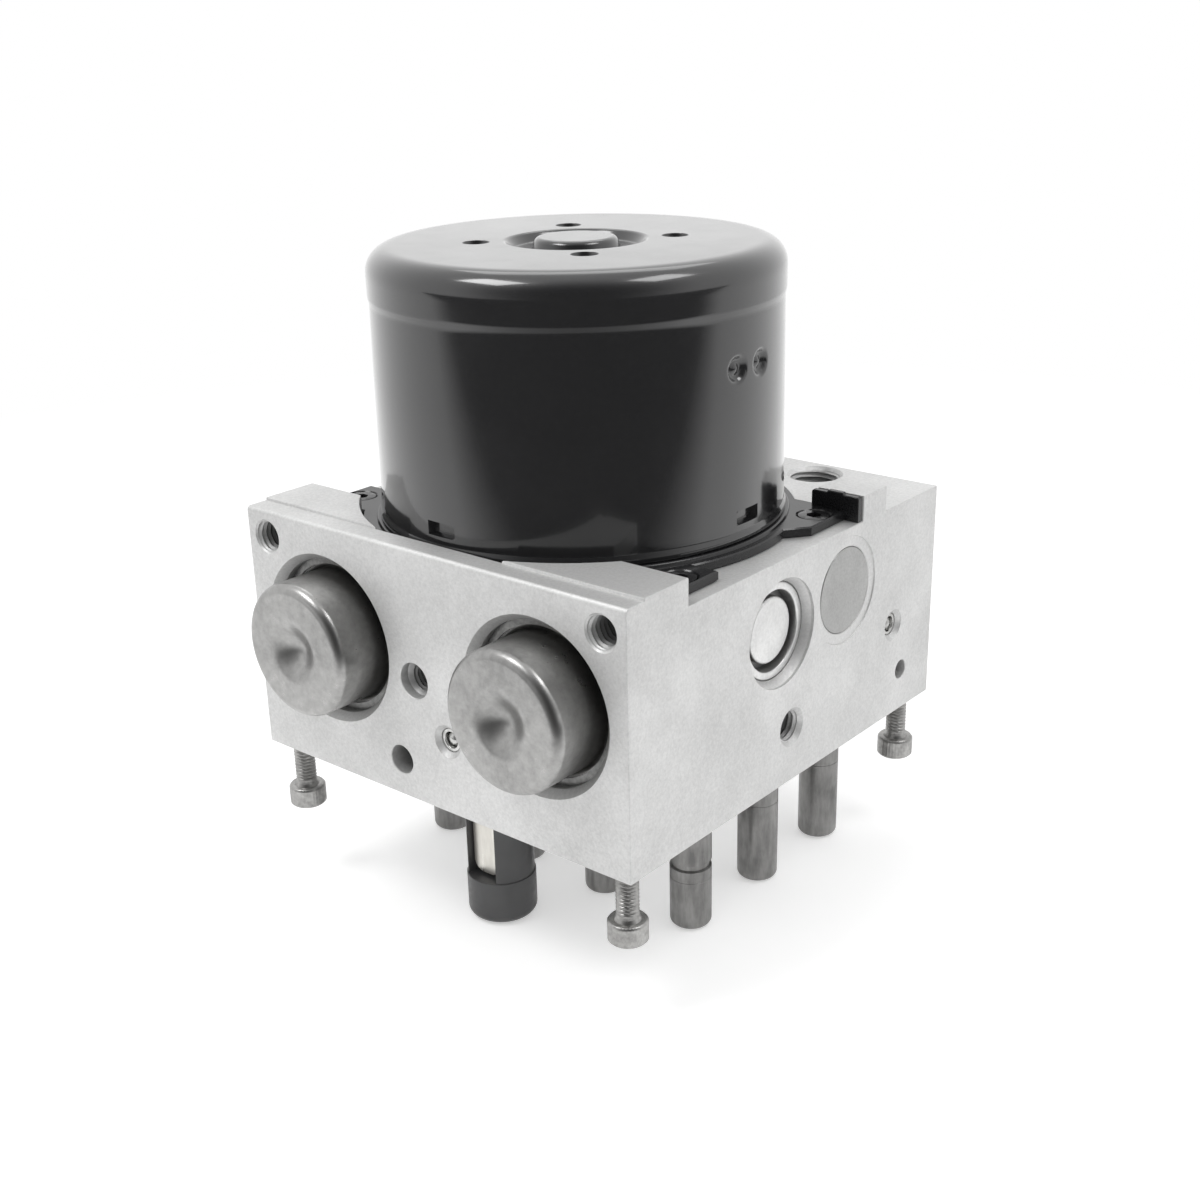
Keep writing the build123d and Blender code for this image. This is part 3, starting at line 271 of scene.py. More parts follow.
class Shape:
    """Collects points and faces in millimetres, and makes one object of them."""

    def __init__(self):
        self.points, self.faces = [], []

    def lathe(self, profile, origin, direction, segments=96, push=None, span=None):
        """Turn (radius, height) points about a line; push(angle, radius, height) moves the radius."""
        u, w, d = axes(direction)
        o = Vector(origin)
        closed = span is None
        start, stop = span or (0, 2 * pi)
        count = segments if closed else segments + 1
        rows = []
        for radius, height in profile:
            if radius < 1e-6:
                rows.append([len(self.points)] * count)
                self.points.append(o + d * height)
                continue
            row = []
            for k in range(count):
                a = start + (stop - start) * k / segments
                r = radius if push is None else push(a, radius, height)
                row.append(len(self.points))
                self.points.append(o + d * height + (u * cos(a) + w * sin(a)) * r)
            rows.append(row)
        for low, high in zip(rows, rows[1:]):
            for k in range(count if closed else count - 1):
                n = (k + 1) % count
                face = [low[k], low[n], high[n], high[k]]
                face = [p for i, p in enumerate(face) if p not in face[:i]]
                if len(face) > 2:
                    self.faces.append(face)

    def flat(self, loops, origin, direction, flip=False):
        """Fill a flat region: the first loop is its outline, the others its holes, in the plane's axes."""
        u, w, d = axes(direction)
        o = Vector(origin)
        flat_points, edges = [], []
        for loop in loops:
            base = len(flat_points)
            flat_points += [Vector(p) for p in loop]
            edges += [(base + i, base + (i + 1) % len(loop)) for i in range(len(loop))]
        verts, _, faces, *_ = delaunay_2d_cdt(flat_points, edges, [], 0, 1e-7)
        base = len(self.points)
        self.points += [o + u * p.x + w * p.y for p in verts]
        for face in faces:
            centre = sum((verts[i] for i in face), Vector((0, 0))) / len(face)
            if sum(inside(centre, loop) for loop in loops) % 2:
                self.faces.append([base + i for i in (reversed(face) if flip else face)])

    def prism(self, loops, origin, direction, height, bevel=0.0):
        """A plate with holes, from its outline loops, with small bevels on its top and bottom edges."""
        u, w, d = axes(direction)
        o = Vector(origin)
        for z, flip in ((0.0, True), (height, False)):
            self.flat([inset(loop, bevel if i == 0 else -bevel) for i, loop in enumerate(loops)], o + d * z,
                      direction, flip)
        for i, loop in enumerate(loops):
            tight = inset(loop, bevel if i == 0 else -bevel)
            rings = [(tight, 0.0)]
            if bevel:
                rings += [(loop, bevel), (loop, height - bevel)]
            rings += [(tight, height)]
            ids = []
            for ring, z in rings:
                ids.append([len(self.points) + k for k in range(len(ring))])
                self.points += [o + d * z + u * p[0] + w * p[1] for p in ring]
            for low, high in zip(ids, ids[1:]):
                for k in range(len(loop)):
                    n = (k + 1) % len(loop)
                    self.faces.append([low[k], low[n], high[n], high[k]])

    def make(self, name, mat, sharp=32, weld=0.002, painted_shade_amounts=None):
        mesh = bpy.data.meshes.new(name)
        mesh.from_pydata([p * MM for p in self.points], [], self.faces)
        # each point's amount of painted shade, read by the material as the bores' painted shade
        if painted_shade_amounts:
            mesh.attributes.new("bore", "FLOAT", "POINT").data.foreach_set("value", painted_shade_amounts)
        bm = bmesh.new()
        bm.from_mesh(mesh)
        bmesh.ops.remove_doubles(bm, verts=bm.verts, dist=weld * MM)
        bmesh.ops.dissolve_degenerate(bm, edges=bm.edges, dist=weld * MM * 0.2)
        bmesh.ops.recalc_face_normals(bm, faces=bm.faces)
        for edge in bm.edges:
            edge.smooth = len(edge.link_faces) == 2 and edge.calc_face_angle(0) < radians(sharp)
        for face in bm.faces:
            face.smooth = True
        bm.to_mesh(mesh)
        bm.free()
        mesh.materials.append(mat)
        obj = bpy.data.objects.new(name, mesh)
        bpy.context.scene.collection.objects.link(obj)
        weigh = obj.modifiers.new("weigh", "WEIGHTED_NORMAL")
        weigh.keep_sharp = True
        weigh.weight = 100
        return obj


def inside(p, loop):
    hit = False
    for i, a in enumerate(loop):
        b = loop[i - 1]
        if (a[1] > p[1]) != (b[1] > p[1]) and p[0] < (b[0] - a[0]) * (p[1] - a[1]) / (b[1] - a[1]) + a[0]:
            hit = not hit
    return hit


def area(loop):
    return sum(a[0] * b[1] - b[0] * a[1] for a, b in zip(loop, loop[1:] + loop[:1])) / 2


def inset(loop, distance):
    """Move each point of a loop inwards along its corner's bisector."""
    if not distance:
        return [tuple(p) for p in loop]
    way = 1 if area(list(loop)) > 0 else -1
    out = []
    for i, p in enumerate(loop):
        a, b, c = Vector(loop[i - 1]), Vector(p), Vector(loop[(i + 1) % len(loop)])
        n1 = Vector((-(b - a).y, (b - a).x)).normalized() * way
        n2 = Vector((-(c - b).y, (c - b).x)).normalized() * way
        n = (n1 + n2) / max(0.3, 1 + n1.dot(n2))
        out.append((b.x + n.x * distance, b.y + n.y * distance))
    return out


def circle(x, y, r, segments=64, start=0.0):
    return [(x + r * cos(start + 2 * pi * k / segments), y + r * sin(start + 2 * pi * k / segments))
            for k in range(segments)]


def thread(pitch, depth, start, end, crest=None):
    """A push for lathe(): thread ridges, in from a hole's wall (depth above 0) or out from a screw."""
    def push(a, radius, height):
        turns = (height / pitch + a / (2 * pi)) % 1.0
        ridge = max(0.0, 1 - abs(turns - 0.5) * 2.6)
        fade = max(0.0, min(1.0, (height - start) / pitch, (end - height) / pitch))
        return radius - depth * ridge * fade
    return push


def ladder(r, start, end, pitch, each=7):
    """Points along a straight wall, close enough for a thread."""
    count = max(2, int(round(abs(end - start) / pitch * each)))
    return [(r, start + (end - start) * k / count) for k in range(count + 1)]


def place(obj, *replaced, slot, body="unit"):
    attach(obj, body)
    if replaced:
        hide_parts(*replaced)
    return obj


# Valve block: a bevelled solid with its holes cut into the flat faces
def block_solid():
    # the cutters reach well past the block
    reach, over, turns = 80.0, 20.0, 16
    cross = sqrt(POCKET ** 2 - (LAND - MOTOR_Y) ** 2)
    clip = sqrt(POCKET ** 2 - (STEP_Y - MOTOR_Y) ** 2)
    a0, a1 = atan2(LAND - MOTOR_Y, -cross), atan2(STEP_Y - MOTOR_Y, -clip)

    def arc(start, end):
        angles = [start + (end - start) * k / turns for k in range(turns + 1)]
        return [(POCKET * cos(t), MOTOR_Y + POCKET * sin(t)) for t in angles]

    outline = [(-reach, LAND)] + arc(a0, a1) + arc(-pi - a1, -pi - a0)
    outline += [(reach, LAND), (reach, CORNER_FRONT), (CORNER_X, CORNER_FRONT), (CORNER_X, CORNER_REAR),
                (reach, CORNER_REAR), (reach, reach), (-reach, reach), (-reach, CORNER_REAR),
                (-CORNER_X, CORNER_REAR), (-CORNER_X, CORNER_FRONT), (-reach, CORNER_FRONT)]
    pieces = [([(-HALF_W, FRONT), (HALF_W, FRONT), (HALF_W, REAR), (-HALF_W, REAR)], BOTTOM, TOP),
              (outline, DECK, TOP + over),
              ([(-reach, FRONT - over), (reach, FRONT - over), (reach, STEP_Y), (-reach, STEP_Y)], STEP_Z,
               TOP + over)]
    made = []
    for n, (loop, low, high) in enumerate(pieces):
        bm = bmesh.new()
        bottom = [bm.verts.new(v_mm(x, y, low)) for x, y in loop]
        top = [bm.verts.new(v_mm(x, y, high)) for x, y in loop]
        bm.faces.new(list(reversed(bottom)))
        bm.faces.new(top)
        for k in range(len(loop)):
            m = (k + 1) % len(loop)
            bm.faces.new([bottom[k], bottom[m], top[m], top[k]])
        bmesh.ops.recalc_face_normals(bm, faces=bm.faces)
        mesh = bpy.data.meshes.new(f"cut_{n}")
        bm.to_mesh(mesh)
        bm.free()
        obj = bpy.data.objects.new(f"cut_{n}", mesh)
        bpy.context.scene.collection.objects.link(obj)
        made.append(obj)
    base = made[0]
    for cutter in made[1:]:
        cut = base.modifiers.new("cut", "BOOLEAN")
        cut.operation = "DIFFERENCE"
        cut.solver = "EXACT"
        cut.object = cutter
    bpy.context.view_layer.update()
    graph = bpy.context.evaluated_depsgraph_get()
    mesh = bpy.data.meshes.new_from_object(base.evaluated_get(graph))
    bm = bmesh.new()
    bm.from_mesh(mesh)
    for obj in made:
        bpy.data.objects.remove(obj)
    bmesh.ops.remove_doubles(bm, verts=bm.verts, dist=0.001 * MM)
    bmesh.ops.dissolve_limit(bm, angle_limit=radians(0.5), verts=bm.verts, edges=bm.edges)

    def is_step(edge):
        return all(abs(v.co.y - FRONT * MM) < 1e-6 and abs(v.co.z - STEP_Z * MM) < 1e-6 for v in edge.verts)

    step = [e for e in bm.edges if is_step(e)]
    bmesh.ops.bevel(bm, geom=step, offset=STEP_ROUND * MM, segments=5, profile=0.5, affect="EDGES")
    sharp = [e for e in bm.edges if e.is_manifold and e.calc_face_angle_signed() > radians(40)]
    bmesh.ops.bevel(bm, geom=sharp, offset=BEVEL * MM, segments=2, profile=0.5, affect="EDGES",
                    clamp_overlap=True)
    return bm


# Each hole: a point on its face, the way out, and its profile from the mouth inwards as (radius, depth)
HOLES = []


def hole(point, out, profile, push=None, segments=64):
    HOLES.append({"point": Vector(point), "out": Vector(out), "profile": profile, "push": push,
                  "segments": segments})


def tapped(point, out, radius, mouth, depth, ridge, segments=72, angle=82, pitch=1.0):
    """A threaded hole with a cone at its mouth and a drill's cone at its end."""
    sunk = (mouth - radius) / tan(radians(angle / 2))
    end = depth - 0.12
    profile = [(mouth, 0), (radius, sunk)] + ladder(radius, sunk + 0.01, end, pitch)
    profile += [(radius - 0.1, depth), (radius * 0.5, depth + radius * 0.3), (0, depth + radius * 0.58)]
    push = thread(pitch, ridge, sunk * 0.4, end - 0.3)
    hole(point, out, profile, lambda a, r, h: push(a, r, h) if sunk < h < end + 0.01 and r == radius else r,
         segments)


M6_BORE, M6_RIDGE = 3.0, 0.45
BRACKET_X, BRACKET_Z, BRACKET_DEPTH = 39.4, BOTTOM + 42.5, 12.0
SIDE_HOLE_Y, SIDE_HOLE_Z, SIDE_HOLE_DEPTH = FRONT + 46.2, {-1: BOTTOM + 15.0, 1: BOTTOM + 10.6}, 9.0
CUP_BORE, CUP_BORE_END, CUP_MOUTH, CUP_MOUTH_END = 14.6, 22.0, 15.9, 1.6
GROOVE_R, GROOVE_END, RING_THICK = 15.4, 4.2, 1.3
PUMP_MOUTH, PUMP_MOUTH_END = 10.0, 1.9
PLUG_BORE, PLUG_END = 8.95, 11.4
SLEEVE_BORE, SLEEVE_END = 7.03, 30.4
SHAFT_BORE, SHAFT_END = 4.3, 32.3
DAMPER_Y, DAMPER_Z, DAMPER_RING, DAMPER_DROP = FRONT + 63.3, BOTTOM + 31.4, 10.2, 0.25
DAMPER_BORE, DAMPER_SEAT, DAMPER_ROOM, DAMPER_ROOM_END = 8.13, 3.25, 5.0, 12.0
BALL_BORE = [(3.1, 0), (2.95, 0.25), (2.24, 0.85), (2.24, 5.9), (0, 5.9)]
FRONT_BALL = (4.4, FRONT, BOTTOM + 13.9)
SIDE_BALL_Y, SIDE_BALL_Z = FRONT + 81.0, BOTTOM + 19.0
DOWEL_Y, DOWEL_Z = FRONT + 84.7, BOTTOM + 8.5
PORT_RIDGE = 0.5
INLET_X, INLET_Z, INLET_BORE, INLET_MOUTH = 14.05, BOTTOM + 20.0, 6.0, 6.7
INLET_DEPTHS, INLET_ANGLES = {-1: 12.0, 1: 11.5}, {-1: 46, 1: 82}
PORT_Y, PORT_PITCH, PORT_BORE, PORT_MOUTH = FRONT + 89.0, 14.07, 5.0, 5.6
PORT_DEPTH, PORT_DROP, PORT_ANGLES = 14.0, 0.5, (36, 46, 60, 90)
VALVE_COLUMNS, INLET_ROW, OUTLET_ROWS = (-30.9, -10.3, 10.3, 30.9), FRONT + 34.2, (55.9, 77.6)
CORNER_SCREW = 4.3

for side in SIDES:
    out = (side, 0, 0)
    tapped((side * BRACKET_X, FRONT, BRACKET_Z), (0, -1, 0), M6_BORE, 3.3, BRACKET_DEPTH, M6_RIDGE)
    groove_top = GROOVE_END - RING_THICK
    hole((side * ACC_X, FRONT, ACC_Z), (0, -1, 0),
         [(CUP_MOUTH, 0), (14.85, 1.3), (CUP_BORE, CUP_MOUTH_END), (CUP_BORE, groove_top),
          (GROOVE_R, groove_top), (GROOVE_R, GROOVE_END), (CUP_BORE, GROOVE_END), (CUP_BORE, CUP_BORE_END),
          (0, CUP_BORE_END)],
         segments=128)
    hole((side * HALF_W, MOTOR_Y, PUMP_Z), out,
         [(PUMP_MOUTH, 0), (PUMP_MOUTH, 0.55), (PLUG_BORE, PUMP_MOUTH_END), (PLUG_BORE, PLUG_END),
          (SLEEVE_BORE, PLUG_END), (SLEEVE_BORE, SLEEVE_END), (SHAFT_BORE, SLEEVE_END),
          (SHAFT_BORE, SHAFT_END), (0, SHAFT_END)], segments=96)
    hole((side * HALF_W, DAMPER_Y, DAMPER_Z), out,
         [(DAMPER_RING, 0), (10.08, DAMPER_DROP), (8.35, DAMPER_DROP), (8.16, 0.4),
          (DAMPER_BORE, DAMPER_SEAT), (DAMPER_ROOM, DAMPER_SEAT), (DAMPER_ROOM, DAMPER_ROOM_END),
          (0, DAMPER_ROOM_END)], segments=96)
    tapped((side * HALF_W, SIDE_HOLE_Y, SIDE_HOLE_Z[side]), out, M6_BORE, 3.7, SIDE_HOLE_DEPTH, M6_RIDGE)
    hole((side * HALF_W, SIDE_BALL_Y, SIDE_BALL_Z), out, BALL_BORE)
    hole((side * HALF_W, DOWEL_Y, DOWEL_Z), out, [(2.0, 0), (1.9, 0.12), (1.9, 5.0), (0, 5.4)])
    tapped((side * INLET_X, REAR, INLET_Z), (0, 1, 0), INLET_BORE, INLET_MOUTH, INLET_DEPTHS[side],
           PORT_RIDGE, 96, INLET_ANGLES[side])

# the three small holes between the cups
SMALL_PITCH, SMALL_BORE = 0.8, 2.6
small_thread = thread(SMALL_PITCH, 0.38, 2.3, 7.6)
hole((-3.0, FRONT, BOTTOM + 23.4), (0, -1, 0),
     [(3.4, 0), (3.3, 0.12), (3.25, 1.7), (SMALL_BORE, 2.4)] + ladder(SMALL_BORE, 2.45, 7.8, SMALL_PITCH)
     + [(0, 9.0)], lambda a, r, h: small_thread(a, r, h) if 2.4 < h < 7.9 and r == SMALL_BORE else r)
hole((-7.5, FRONT, BOTTOM + 7.0), (0, -1, 0), [(2.85, 0), (2.7, 0.15), (2.7, 5.0), (0, 5.3)])
hole(FRONT_BALL, (0, -1, 0), BALL_BORE)

for i, angle in enumerate(PORT_ANGLES):
    tapped((PORT_PITCH * (i - 1.5), PORT_Y, DECK), (0, 0, 1), PORT_BORE, PORT_MOUTH,
           PORT_DEPTH - PORT_DROP * i, PORT_RIDGE, 96, angle)
VALVES = [(f"inlet_valve_{n}", x, INLET_ROW) for n, x in enumerate(VALVE_COLUMNS, 1)]
outlets = [(x, FRONT + row) for row in OUTLET_ROWS for x in (VALVE_COLUMNS[0], VALVE_COLUMNS[-1])]
VALVES += [(f"outlet_valve_{n}", x, y) for n, (x, y) in enumerate(outlets, 1)]
SCREWS = [(sx * (HALF_W - CORNER_SCREW), y) for sx in SIDES
          for y in (FRONT + CORNER_SCREW, REAR - CORNER_SCREW)]
for _, x, y in VALVES:
    hole((x, y, BOTTOM), (0, 0, -1),
         [(5.25, 0), (5.03, 0.2), (5.03, 12.0), (3.2, 12.0), (3.2, 17.0), (0, 17.0)])
for x, y in SCREWS:
    hole((x, y, BOTTOM), (0, 0, -1), [(2.4, 0), (2.03, 0.35), (2.03, 12.0), (0, 12.6)], segments=48)


# painted shade in the holes starts this far in and deepens over the next span, in millimetres
LIT_DEPTH, FADE_DEPTH = 0.6, 2.6


def build_block():
    bm = block_solid()
    shape = Shape()
    for face in list(bm.faces):
        n = face.normal
        flat_axis = [a for a in range(3) if abs(abs(n[a]) - 1) < 1e-4]
        here = []
        if flat_axis and face.calc_area() > 100 * MM * MM:
            for h in HOLES:
                if (h["out"] - n).length < 1e-3 and abs((h["point"] * MM - face.verts[0].co).dot(n)) < 1e-5:
                    u, w, d = axes(h["out"])
                    loop = [((v.co / MM).dot(u), (v.co / MM).dot(w)) for v in face.verts]
                    if inside((h["point"].dot(u), h["point"].dot(w)), loop):
                        here.append(h)
        deck = abs(n.z - 1) < 1e-3 and abs(face.verts[0].co.z - DECK * MM) < 1e-5
        if here or deck:
            u, w, d = axes(n)
            loop = [((v.co / MM).dot(u), (v.co / MM).dot(w)) for v in face.verts]
            loops = [loop]
            for h in here:
                c = (h["point"].dot(u), h["point"].dot(w))
                loops.append(circle(*c, h["profile"][0][0], h["segments"]))
            height = (face.verts[0].co / MM).dot(d)
            shape.flat(loops, Vector(n) * height, n)
        else:
            base = len(shape.points)
            shape.points += [v.co / MM for v in face.verts]
            shape.faces.append([base + k for k in range(len(face.verts))])
    bm.free()
    # painted shade in the holes: how dark the metal is painted, from 0 near a hole's mouth to 1 deep inside
    painted_shade_amounts = [0.0] * len(shape.points)
    for h in HOLES:
        u, w, _ = axes(h["out"])
        # the lathe runs inwards with the same points round the mouth as the flat face's hole
        rows = Shape()
        rows.lathe(h["profile"], (0, 0, 0), (0, 0, 1), h["segments"], h["push"])
        base = len(shape.points)
        ua, wa, _ = axes((0, 0, 1))
        shape.points += [h["point"] + u * p.dot(ua) + w * p.dot(wa) - h["out"] * p.z for p in rows.points]
        painted_shade_amounts += [min(1.0, max(0.0, (p.z - LIT_DEPTH) / FADE_DEPTH)) for p in rows.points]
        shape.faces += [[base + k for k in f] for f in rows.faces]
    return shape.make("valve_block", MATS["block_aluminium"], sharp=34, weld=0.004, painted_shade_amounts=painted_shade_amounts)


place(build_block(), "hydraulic_block", slot="block_aluminium")


UP = (0, 0, 1)


def to_plane(loop):
    """Points in x and y, in the axes that flat() and prism() use for a level plane."""
    u, w, _ = axes(UP)
    return [(Vector((x, y, 0)).dot(u), Vector((x, y, 0)).dot(w)) for x, y in loop]


def to_wall(loop, way):
    """Points in x and z, in the axes that prism() uses for a plane across Y."""
    u, w, _ = axes((0, way, 0))
    return [(Vector((x, 0, z)).dot(u), Vector((x, 0, z)).dot(w)) for x, z in loop]


def hex_socket(shape, x, y, across, edge, edge_points, face_z, floor_z, flip):
    """The flat end of a screw's head, with its hexagon socket."""
    cx, cy = to_plane([(x, y)])[0]
    hexagon = circle(cx, cy, across / 2 / cos(pi / 6), 6, pi / 6)
    shape.flat([circle(cx, cy, edge, edge_points), hexagon], (0, 0, face_z), UP, flip)
    shape.flat([hexagon], (0, 0, floor_z), UP, flip)
    u, w, _ = axes(UP)
    for a, b in zip(hexagon, hexagon[1:] + hexagon[:1]):
        base = len(shape.points)
        shape.points += [u * q[0] + w * q[1] + Vector((0, 0, z)) for q, z in
                         ((a, face_z), (b, face_z), (b, floor_z), (a, floor_z))]
        shape.faces.append([base, base + 1, base + 2, base + 3])


# Motor can
CAN_BASE, CAN_STEP, CAN_TOP = PLATE_TOP + 0.6, BOTTOM + 84.7, BOTTOM + 93.6
CAN_IN, CAN_OUT, TOP_FLAT = 35.25, 37.0, 32.0
RECESS_EDGE, RECESS_R, RECESS_DEPTH, BUTTON_R, BUTTON_RISE = 15.2, 12.5, 1.6, 7.1, 0.5
TOP_MARK_AT, TOP_MARK_R, TOP_MARK_DEPTH = 17.5, 2.4, 1.3
MARK_Z, MARK_R, MARK_WALL, MARK_DEPTH = BOTTOM + 75.5, 2.5, 1.1, 0.9
MARK_BUMP_R, MARK_BUMP = 1.3, 0.45
SLOT_Z, SLOT_HALF_W, SLOT_HALF_H, SLOT_DEPTH = CAN_BASE + 4.3, 2.8, 1.15, 1.3
CAN_TURNS, RECESS_TURNS = 600, 128
FINE_ROW, COARSE_ROW = 0.25, 1.0
MARKS = [radians(a + t) for t in (0, 180) for a in (-4.4, 6.2)]
SLOTS = [radians(a) for a in (0, 90, 180, 270)]

can = Shape()
outer = rounded([(CAN_IN, CAN_BASE), (37.25, CAN_BASE), (37.35, CAN_BASE + 0.9), (CAN_OUT, CAN_BASE + 1.8),
                 (36.68, CAN_STEP - 0.6), (36.95, CAN_STEP + 0.7), (CAN_OUT, CAN_TOP), (TOP_FLAT, CAN_TOP)],
                [0, 0.4, 0.8, 1.2, 4.0, 2.5, 4.2, 0], 8)
# the wall's rows lie close together where the marks and slots are
wall = []
for a, b in zip(outer, outer[1:]):
    z = a[1]
    wall.append(a)
    while True:
        z += FINE_ROW if abs(z - MARK_Z) < 3.7 or abs(z - SLOT_Z) < 2.2 else COARSE_ROW
        if z > b[1] - 0.1:
            break
        wall.append((a[0] + (b[0] - a[0]) * (z - a[1]) / (b[1] - a[1]), z))
wall.append(outer[-1])


def turn_from(angle, target):
    """How far an angle lies from another, between -pi and pi."""
    return (angle - target + pi) % (2 * pi) - pi


def can_push(a, radius, height):
    """Side marks pressed in as small round pits, and the slots at the base."""
    if radius < 36.0 or height > CAN_TOP - 6:
        return radius
    world = a + pi / 2
    for angle in MARKS:
        d = hypot(turn_from(world, angle) * radius, height - MARK_Z)
        if d < 2.6:
            fall = max(0.0, min(1.0, (MARK_R - d) / MARK_WALL))
            inner = max(0.0, 1 - (d / MARK_BUMP_R) ** 2)
            return radius - MARK_DEPTH * fall * fall * (3 - 2 * fall) + MARK_BUMP * inner * inner
    if abs(height - SLOT_Z) < SLOT_HALF_H:
        for angle in SLOTS:
            if abs(turn_from(world, angle) * radius) < SLOT_HALF_W:
                return radius - SLOT_DEPTH
    return radius


can.lathe(wall, (0, MOTOR_Y, 0), UP, CAN_TURNS, can_push)
recess_floor = CAN_TOP - RECESS_DEPTH
recess_wall = rounded([(RECESS_EDGE, CAN_TOP), (RECESS_R, CAN_TOP), (11.2, recess_floor), (7.9, recess_floor),
                       (BUTTON_R, CAN_TOP + BUTTON_RISE), (0, CAN_TOP + BUTTON_RISE)],
                      [0, 1.0, 0.6, 0.5, 1.2, 0], 8)
can.lathe(recess_wall, (0, MOTOR_Y, 0), UP, RECESS_TURNS)
cx, cy = to_plane([(0, MOTOR_Y)])[0]
top_loops = [circle(cx, cy, TOP_FLAT, CAN_TURNS), circle(cx, cy, RECESS_EDGE, RECESS_TURNS)]
for k in range(4):
    angle = pi / 4 + k * pi / 2
    x, y = TOP_MARK_AT * cos(angle), MOTOR_Y + TOP_MARK_AT * sin(angle)
    top_loops.append(circle(*to_plane([(x, y)])[0], TOP_MARK_R, 48))
    can.lathe([(TOP_MARK_R, CAN_TOP), (TOP_MARK_R - 0.1, CAN_TOP - 0.15),
               (TOP_MARK_R - 0.1, CAN_TOP - TOP_MARK_DEPTH)], (x, y, 0), UP, 48)
can.flat(top_loops, (0, 0, CAN_TOP), UP)
# the sheet's inner side
can.lathe([(CAN_IN, CAN_BASE), (CAN_IN, CAN_TOP - 4.0), (TOP_FLAT, CAN_TOP - 1.4),
           (RECESS_EDGE, CAN_TOP - 1.4), (12.4, CAN_TOP - 3.0), (7.0, CAN_TOP - 3.0), (5.7, CAN_TOP - 0.9),
           (0, CAN_TOP - 0.9)],
          (0, MOTOR_Y, 0), UP, 96)
place(can.make("can", MATS["can_black"], sharp=40), "motor_can", slot="can_black")

# End plate under the can
PLATE_FRONT, PLATE_REAR = LAND + 0.3, CORNER_FRONT - 0.3
PLATE_HALF, PLATE_WAIST, PLATE_HOLE, CLIP_Y = 41.5, 39.4, 20.0, STEP_Y + 0.3
FRONT_TAB, REAR_TAB, TAB_SLOPE = 11.7, 12.3, 4.0
PLATE_SCREW_IN, PLATE_SCREW_HOLE = 6.5, 3.05
RIM_R, RIM_FOOT = 37.9, 38.1
EAR_IN, EAR_OUT, EAR_H, EAR_T, EAR_CUT, EAR_BUMP = HALF_W - 10.2, HALF_W - 0.3, 4.7, 1.2, 0.35, 0.4


def plate_arc(radius, start_y, end_y, side, steps=40):
    """Points on a circle round the motor's axis, between two places along Y on one side."""
    a, b = (atan2(y - MOTOR_Y, sqrt(radius ** 2 - (y - MOTOR_Y) ** 2)) for y in (start_y, end_y))
    turns = [a + (b - a) * k / steps for k in range(steps + 1)]
    return [(side * radius * cos(t), MOTOR_Y + radius * sin(t)) for t in turns]


plate = Shape()
tab_end, tab_start = PLATE_FRONT + FRONT_TAB, PLATE_REAR - REAR_TAB
right_side = plate_arc(POCKET - 0.3, CLIP_Y, PLATE_FRONT, 1)
right_side += [(PLATE_HALF, PLATE_FRONT), (PLATE_HALF, tab_end)]
right_side += plate_arc(PLATE_WAIST, tab_end, tab_start - TAB_SLOPE, 1)
right_side += [(PLATE_HALF, tab_start), (PLATE_HALF, PLATE_REAR)]
rear_arc = plate_arc(PLATE_WAIST, PLATE_REAR, MOTOR_Y + PLATE_WAIST - 1e-6, 1, 60)
outline = right_side + rear_arc + [(-x, y) for x, y in reversed(rear_arc[:-1])]
outline += [(-x, y) for x, y in reversed(right_side)]
PLATE_SCREWS = [(sx * (HALF_W - PLATE_SCREW_IN), y) for sx in SIDES
                for y in (PLATE_FRONT + 5.85, PLATE_REAR - 6.15)]
loops = ([outline, circle(0, MOTOR_Y, PLATE_HOLE, 96)]
         + [circle(x, y, PLATE_SCREW_HOLE, 48) for x, y in PLATE_SCREWS])
plate.prism([to_plane(loop) for loop in loops], (0, 0, DECK), UP, PLATE_TOP - DECK, 0.25)
rim_top = CAN_BASE - 0.03
plate.lathe(rounded([(CAN_IN, PLATE_TOP - 0.5), (CAN_IN, rim_top), (RIM_R, rim_top),
                     (RIM_FOOT, PLATE_TOP - 0.1)], [0, 0, 0.4, 0], 5), (0, MOTOR_Y, 0), UP, 256)
for side in SIDES:
    lo, hi = sorted((side * EAR_IN, side * EAR_OUT))
    mid = (lo + hi) / 2
    # the ear's outline in x and z, with the low bump on its top
    ear = [(lo, 0), (hi, 0), (hi, EAR_H - EAR_CUT), (hi - EAR_CUT, EAR_H), (mid + 1.75, EAR_H),
           (mid + 1.5, EAR_H + EAR_BUMP), (mid - 1.5, EAR_H + EAR_BUMP), (mid - 1.75, EAR_H),
           (lo + EAR_CUT, EAR_H), (lo, EAR_H - EAR_CUT)]
    plate.prism([to_wall(ear, -1)], (0, PLATE_REAR, DECK), (0, -1, 0), EAR_T, 0.15)
place(plate.make("end_plate", MATS["plate_black"], sharp=38), "motor_end_plate", slot="plate_black")

screws = Shape()
for x, y in PLATE_SCREWS:
    head = PLATE_TOP - 0.05
    screws.lathe([(0, DECK - 5.0), (1.75, DECK - 5.0), (1.75, head - 1.4), (2.9, head - 0.25),
                  (2.85, head - 0.05), (2.7, head)], (x, y, 0), UP, 48)
    hex_socket(screws, x, y, 2.5, 2.7, 48, head, head - 1.0, False)
place(screws.make("plate_screws", MATS["plate_black"]), "motor_screws", slot="plate_black")

